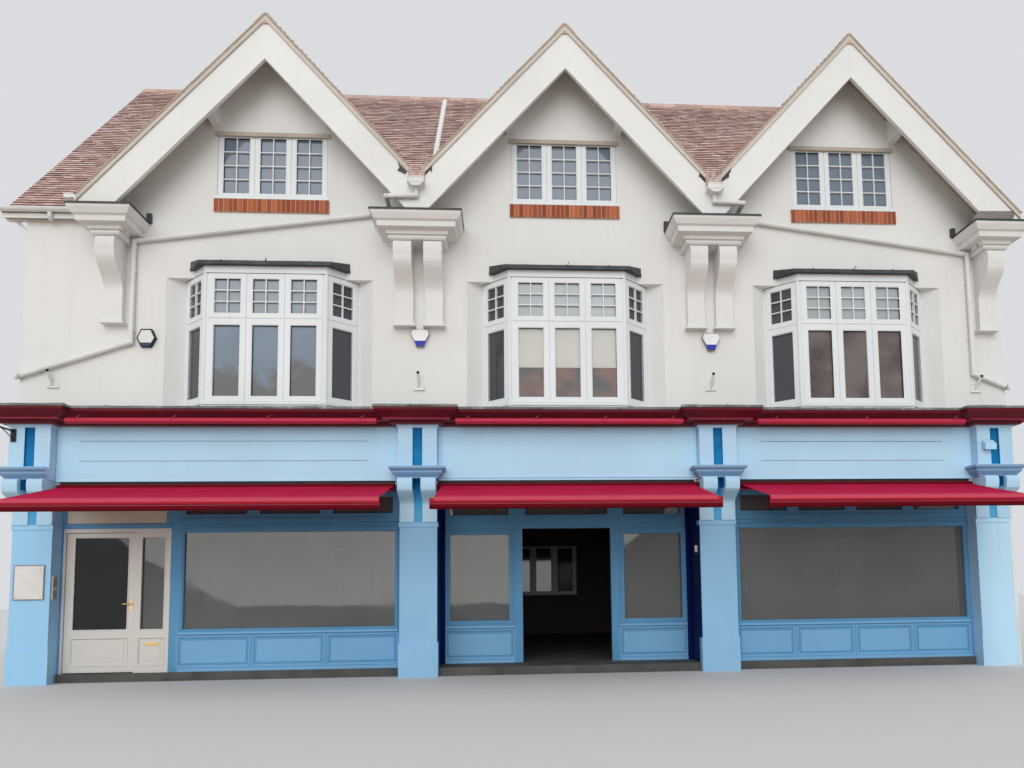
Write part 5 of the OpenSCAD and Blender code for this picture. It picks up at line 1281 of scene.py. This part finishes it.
# Side door: the panel over it, beads round the glass, letter plate
door_trim = Shape()
door_trim.slab(shop, (-7.80, -6.303), (2.434, 2.875), (-0.016, -0.006), 2)
bead(door_trim, shop, (-6.668, -6.298), (0.780, 2.223), 0.016, 0.006, 0.02)
panel_mould(door_trim, shop, (-6.668, -6.298), (0.252, 0.655))
door_trim.slab(shop, (-6.62, -6.346), (0.30, 0.607), (-0.014, -0.006))
door_trim.slab(shop, (-6.590, -6.376), (0.545, 0.590), (-0.008, 0.004), 1)
door_trim.slab(shop, (-6.575, -6.391), (0.556, 0.579), (0.004, 0.007), 1)
piece("door_surround_beads", door_trim, ["door_white", "brass", "cream_plastic"], bevel=0.0015)

leaf_trim = Shape()
leaf = Plane((0.0, 0.153))
bead(leaf_trim, leaf, (-7.688, -6.858), (0.780, 2.223), 0.016, 0.006, 0.012)
panel_mould(leaf_trim, leaf, (-7.688, -6.858), (0.252, 0.655))
leaf_trim.slab(leaf, (-7.638, -6.908), (0.302, 0.605), (-0.014, -0.006))
piece("door_leaf_beads", leaf_trim, ["door_white"], body="side_door", bevel=0.0015)

# Awnings: rails, cassettes and folding arms
# Looks: the rail's upper part red; its groove black as painted shade; the thin ridge below brighter as a
# painted highlight; its lower part, the cassette and the arms a darker red as painted shade; the cassette's
# lip a painted highlight.
RAIL_SECTIONS = (
    ([(-1.572, 2.617), (-1.612, 2.607), (-1.632, 2.592), (-1.6365, 2.580), (-1.6365, 2.543), (-1.628, 2.540),
      (-1.572, 2.540)], 0),
    ([(-1.572, 2.540), (-1.622, 2.540), (-1.622, 2.532), (-1.572, 2.532)], 1),
    ([(-1.572, 2.532), (-1.636, 2.532), (-1.639, 2.528), (-1.639, 2.523), (-1.636, 2.520),
      (-1.572, 2.520)], 2),
    ([(-1.572, 2.520), (-1.636, 2.519), (-1.632, 2.482), (-1.620, 2.466), (-1.600, 2.458),
      (-1.572, 2.458)], 3),
    ([(-0.0605, 2.999), (-0.225, 2.999), (-0.241, 2.990), (-0.248, 2.972), (-0.248, 2.960), (-0.244, 2.930),
      (-0.248, 2.900), (-0.242, 2.890), (-0.0605, 2.890)], 3),
    ([(-0.070, 2.8895), (-0.249, 2.8895), (-0.251, 2.886), (-0.249, 2.8815), (-0.070, 2.8815)], 2),
)
bars = Shape()
for x0, x1 in RAILS:
    for section, look in RAIL_SECTIONS:
        bars.run(x0, x1, section, look)
    for x, s in ((x0 + 0.45, 1), (x1 - 0.45, -1)):
        root = Vector((x, -0.23, 2.916))
        elbow = Vector((x + s * 0.16, -0.91, 2.705))
        tip = Vector((x, -1.572, 2.535))
        for a, b, wide in ((root, elbow, 0.020), (elbow, tip, 0.017)):
            end = wide + 0.003
            path = [a.lerp(b, t) for t in (0, 0.06, 0.07, 0.93, 0.94, 1)]
            bars.tube(path, [end, end, wide, wide, end, end], 12, 3)
        bars.tube([elbow - UP * 0.028, elbow + UP * 0.028], 0.025, 14, 3)
        bars.box((x - 0.035, -0.26, 2.884), (x + 0.035, -0.20, 2.944), 3)
        bars.box((x - 0.03, -1.60, 2.505), (x + 0.03, -1.566, 2.560), 3)
    for x in (x0, x1 - 0.006):
        bars.box((x, -1.6385, 2.4565), (x + 0.006, -1.5705, 2.6170))
piece("awning_metalwork", bars, ["rail_red", "black", "bead_red", "rail_dark"],
      bevel=0.001, replaces="awning_frames")


def fall(t):
    """Line of an awning's cloth from the cassette over the rail, t from 0 to 1."""
    path = [(-0.247, 2.9505), (-1.586, 2.6325), (-1.612, 2.6235), (-1.632, 2.6065), (-1.6415, 2.583),
            (-1.6415, 2.570)]
    lengths = [math.dist(a, b) for a, b in zip(path, path[1:])]
    rest = t * sum(lengths)
    for a, b, length in zip(path, path[1:], lengths):
        if rest <= length + 1e-9:
            share = rest / length
            return a[0] + (b[0] - a[0]) * share, a[1] + (b[1] - a[1]) * share
        rest -= length
    return path[-1]


def cloth_point(x, t, x0, x1, seed, lift=0.0):
    """A point of an awning at x and t, with its sag and creases, raised by lift."""
    y, z = fall(t)
    edge = min(x - x0, x1 - x) / 0.6
    belly = math.sin(math.pi * min(t / 0.94, 1.0))
    sag = 0.010 * belly * (1 - 0.5 * math.exp(-edge * 3))
    crease = 0.0035 * belly * noise.noise(Vector((x * 2.2 + seed, t * 1.3, seed)))
    crease += 0.0015 * belly * noise.noise(Vector((x * 9 + seed, t * 2.0, seed)))
    away, up = (0.9, 0.1) if t > 0.97 else (0.2, 1.0)
    return x, y - away * lift, z - sag + crease + up * lift


FALL_STEPS = [k * 0.94 / 26 for k in range(27)] + [0.955, 0.965, 0.975, 0.985, 0.993, 1.0]
for name, (x0, x1), seed in zip(("left", "middle", "right"), CLOTHS, (1.0, 2.0, 3.0)):
    cloth = Shape()
    columns = round((x1 - x0) / 0.06)
    across = [x0 + (x1 - x0) * k / columns for k in range(columns + 1)]
    cloth.net([[cloth_point(x, t, x0, x1, seed) for t in FALL_STEPS] for x in across])
    awning = piece(name + "_awning", cloth, ["cloth"], smooth=True, closed=False, replaces="awnings")
    seams = Shape()
    count = round((x1 - x0) / 1.25)
    for j in range(count + 1):
        x = x0 + (x1 - x0) * j / count
        x = min(max(x, x0 + 0.011), x1 - 0.011)
        rings = []
        for t in FALL_STEPS:
            edges = ((-0.009, 0.0004), (0.009, 0.0004), (0.009, 0.0019), (-0.009, 0.0019))
            rings.append([cloth_point(x + dx, t, x0, x1, seed, lift) for dx, lift in edges])
        seams.sweep(rings)
    stitched = piece(name + "_awning_seams", seams, ["cloth"], smooth=True)

# Roller blinds behind the middle bay
for i, name in enumerate(("left", "middle", "right")):
    x = (i - 1) * LIGHT_PITCH
    cloth = Shape()
    w, top, foot = 0.2275, 6.285, 4.875
    columns, rows = 14, 40
    lines = []
    for k in range(columns + 1):
        u = -w + 2 * w * k / columns
        line = []
        for r in range(rows + 1):
            z = top + (foot - top) * r / rows
            line.append((x + u, -0.1462 + 0.0012 * noise.noise(Vector((u * 6 + i * 3, z * 1.1, i))), z))
        lines.append(line)
    cloth.net(lines)
    blind = piece(name + "_blind", cloth, ["blind"], smooth=True, closed=False,
                  replaces="window_blinds")
    rod = Shape()
    for z in (4.868, 6.2825):
        rod.tube([(x - w, -0.1475, z), (x + w, -0.1475, z)], 0.0024, 8)
    rods = piece(name + "_blind_rods", rod, ["plastic"], smooth=True)

# Fittings on the wall: alarm boxes, pole sockets, plaque, call box, sign arm, floodlight
fittings = Shape()
WHITE, BLUE, BLACK, CREAM, GREY, PALE_BLUE, STEEL, TEAL, BRIGHT = range(9)
hexagon = [(-0.150, 0.0), (-0.082, -0.145), (0.072, -0.145), (0.150, 0.0), (0.082, 0.148), (-0.082, 0.148)]
at = (-6.630, 5.343)
fittings.plate(hexagon, at, -0.0005, -0.060, BLACK, 0.97)
fittings.plate([(x * 0.84, z * 0.84) for x, z in hexagon], at, -0.055, -0.066, WHITE, 0.96)
wedge = [(-0.104, -0.082), (-0.070, -0.140), (0.062, -0.140), (0.104, -0.082)]
fittings.plate(wedge, at, -0.060, -0.0685, TEAL, 0.97)
shield = [(0.129, 0.143), (-0.129, 0.143), (-0.152, 0.063), (-0.090, -0.056), (-0.058, -0.143)]
shield += [(-x, z) for x, z in reversed(shield[2:])]
wedge = [(-0.089, -0.052), (-0.060, -0.136), (0.060, -0.136), (0.089, -0.052)]
for at in ((-2.368, 5.377), (2.3895, 5.350)):
    fittings.plate(shield, at, -0.0005, -0.062, GREY, 0.985)
    fittings.plate([(x * 0.96, z * 0.96) for x, z in shield], at, -0.058, -0.072, BRIGHT, 0.93)
    fittings.plate(wedge, at, -0.060, -0.0745, BLUE, 0.97)

# Pole sockets: foot of the plate, foot and top of the tube
SOCKETS = (
    ((-8.022, 4.556), (-8.035, 4.600), (-8.060, 4.800)), ((-2.382, 4.539), (-2.388, 4.600), (-2.392, 4.795)),
    ((2.370, 4.551), (2.371, 4.592), (2.392, 4.800)), ((6.900, 4.538), (6.905, 4.600), (6.955, 4.785)),
)
back = [(0.088, -0.008), (0.090, 0.060), (0.050, 0.150)]
back += [(-x, z) for x, z in reversed(back)]
for plate, foot, top in SOCKETS:
    x, z = plate
    fittings.plate(back, plate, -0.0005, -0.012, WHITE, 0.96)
    fittings.box((x - 0.088, -0.030, z - 0.010), (x + 0.088, -0.0005, z - 0.002), WHITE)
    low, high = Vector((foot[0], -0.012, foot[1])), Vector((top[0], -0.130, top[1]))
    fittings.tube([low, low.lerp(high, 0.15), high], [0.026, 0.0215, 0.0215], 16, WHITE)
    end = (high - low).normalized()
    fittings.tube([high - end * 0.022, high + end * 0.012], 0.0225, 16, BLACK)
    for dx, dz in ((-0.07, 0.02), (0.07, 0.02), (-0.035, 0.12), (0.035, 0.12)):
        fittings.tube([(x + dx, -0.011, z + dz), (x + dx, -0.016, z + dz)], 0.007, 8, STEEL)
plaque = Plane((-8.167, FASCIA_Y))
fittings.slab(plaque, (-0.210, 0.210), (1.270, 1.780), (0.0005, 0.018), WHITE)
rim = [(0.0, 0.0005), (0.0, 0.022), (0.012, 0.022), (0.016, 0.016), (0.016, 0.0005)]
fittings.ring(plaque, (-0.222, 0.222), (1.265, 1.790), rim, GREY)
for u in (-0.18, 0.18):
    for z in (1.31, 1.74):
        a = plaque.point(u, 0.017, z)
        fittings.tube([a, a + Vector((0, -0.004, 0))], 0.007, 10, STEEL)
call_side = Plane((-7.865, 0), (0, 1))
fittings.slab(call_side, (-0.115, 0.0), (1.268, 1.628), (0.0005, 0.024), CREAM)
fittings.slab(call_side, (-0.108, -0.007), (1.275, 1.40), (0.024, 0.027), GREY)
fittings.slab(call_side, (-0.105, -0.010), (1.46, 1.60), (0.024, 0.0265), GREY)
ARM_X = -8.3865
fittings.box((ARM_X - 0.0355, -0.345, 3.637), (ARM_X + 0.0355, -0.3255, 3.835), BLACK)
fittings.tube([(ARM_X, -0.34, 3.80), (ARM_X, -0.62, 3.80), (ARM_X, -0.925, 3.80)], 0.013, 10, BLACK)
fittings.tube([(ARM_X, -0.34, 3.68), (ARM_X, -0.62, 3.795)], 0.007, 8, BLACK)
low = [(6.793, -0.325, 3.497), (6.905, -0.325, 3.497), (6.905, -0.345, 3.497), (6.793, -0.345, 3.497)]
fittings.sweep([low, [(x, y, 3.662) for x, y, z in low]], STEEL)
low = [(6.757, -0.345, 3.520), (6.941, -0.345, 3.520), (6.941, -0.425, 3.490), (6.757, -0.425, 3.490)]
high = [(6.757, -0.345, 3.655), (6.941, -0.345, 3.655), (6.941, -0.435, 3.580), (6.757, -0.435, 3.580)]
fittings.sweep([low, high], PALE_BLUE)
piece("wall_fittings_detailed", fittings,
      ["plastic", "blue_plastic", "black", "cream_plastic", "grey_plastic", "fascia", "steel", "teal_plastic",
       "bright_plastic"],
      bevel=0.002, replaces="wall_fittings")

# Rainwater goods: gutter brackets and ends, collars and clips on the pipes, hopper rims
rain = Shape()
GUTTER_Z = 7.37
COLLAR_R = 0.0415
CLIP_PITCH = 0.95


def strap(x, y):
    """A bracket under a gutter whose middle runs at y."""
    r, wide = 0.064, 0.018
    points = []
    for k in range(11):
        t = math.pi * (1 + k / 10)
        across = max(-0.93, min(0.93, math.cos(t)))
        points.append((x, y + r * across, GUTTER_Z + r * math.sin(t)))
    for a, b in zip(points, points[1:]):
        low = [(x - wide, a[1], a[2]), (x + wide, a[1], a[2]), (x + wide, b[1], b[2]), (x - wide, b[1], b[2])]
        high = [(p[0], y + (p[1] - y) * 0.93, GUTTER_Z + (p[2] - GUTTER_Z) * 0.93) for p in low]
        rain.sweep([low, high])


for x in (-8.70, -8.15, -7.66, 7.69):
    strap(x, -0.185)
for k in range(19):
    strap(VERGE[0] + 0.15 + k * 0.90, DEPTH + 0.185)
rain.tube([(-8.10, -0.165, 7.315), (-8.10, -0.165, 7.245), (-8.10, -0.120, 7.200)], [0.036, 0.036, 0.032], 14)
for s in (-1, 1):
    x = s * 2.375
    end, bend, foot = (-8.567, 5.27, 4.70) if s < 0 else (7.467, 4.83, 4.59)
    path = [(x, -0.576, 7.560), (x, -0.576, 7.497), (s * 2.845, -0.576, 7.4785), (s * 2.845, -0.06, 7.46),
            (s * 6.857, -0.06, 6.91), (s * 6.857, -0.06, bend), (end, -0.06, foot)]
    path = [Vector(p) for p in path]
    for a, b in zip(path, path[1:]):
        ahead = (b - a).normalized()
        length = (b - a).length
        for t in (0.045, length - 0.105):
            if length > 0.3:
                rain.tube([a + ahead * t, a + ahead * (t + 0.06)], COLLAR_R, 16)
        if length > 1.0:
            for k in range(round(length / CLIP_PITCH)):
                c = a + ahead * (0.5 + k * CLIP_PITCH)
                if c.z < b.z + 0.02 and length < 1.8:
                    continue
                rain.tube([c, c + ahead * 0.022], 0.0400, 16)
                rain.box((c.x - 0.045, -0.030, c.z - 0.012), (c.x + 0.045, -0.0005, c.z + 0.012))
    tail = (path[-1] - path[-2]).normalized()
    rain.tube([path[-1] - tail * 0.09, path[-1] - tail * 0.002], COLLAR_R, 16)
    rain.box((x - 0.131, -0.703, 7.738), (x + 0.131, -0.5275, 7.757))
    rain.box((x - 0.131, -0.7025, 7.664), (x + 0.131, -0.5275, 7.672))
piece("rainwater_fittings", rain, ["plastic"], bevel=0.0015, smooth=True)

# Floor and light
world = bpy.data.worlds.new("world")
bpy.context.scene.world = world
world.use_nodes = True
world.node_tree.nodes["Background"].inputs[0].default_value = (0.95, 0.97, 1.0, 1)
world.node_tree.nodes["Background"].inputs[1].default_value = 0.74
bpy.context.scene.view_settings.view_transform = "Standard"

sun_data = bpy.data.lights.new("sun", "SUN")
sun_data.energy = 1.22
sun_data.angle = math.radians(50)
sun_data.color = (1.0, 0.98, 0.95)
sun = bpy.data.objects.new("sun", sun_data)
sun.rotation_euler = (math.radians(68), 0, math.radians(-8))
bpy.context.scene.collection.objects.link(sun)

mesh = bpy.data.meshes.new("floor")
S = 60
mesh.from_pydata([(-S, -S, 0), (S, -S, 0), (S, S, 0), (-S, S, 0)], [], [(0, 1, 2, 3)])
floor = bpy.data.objects.new("floor", mesh)
bpy.context.scene.collection.objects.link(floor)
floor_look = Paint("pale_floor", (0.54, 0.47, 0.40), 0.8)
floor_look.bump(0.05, 0.01, 3, 3)
path = floor_look.put("ShaderNodeLightPath")
seen, glossy, through = (path.outputs[f"Is {name} Ray"] for name in ("Camera", "Glossy", "Transmission"))
shown = floor_look.math("MAXIMUM", seen, floor_look.math("MAXIMUM", glossy, through))
floor_look.tint(shown, (0.70, 0.70, 0.69))
mesh.materials.append(floor_look.done())
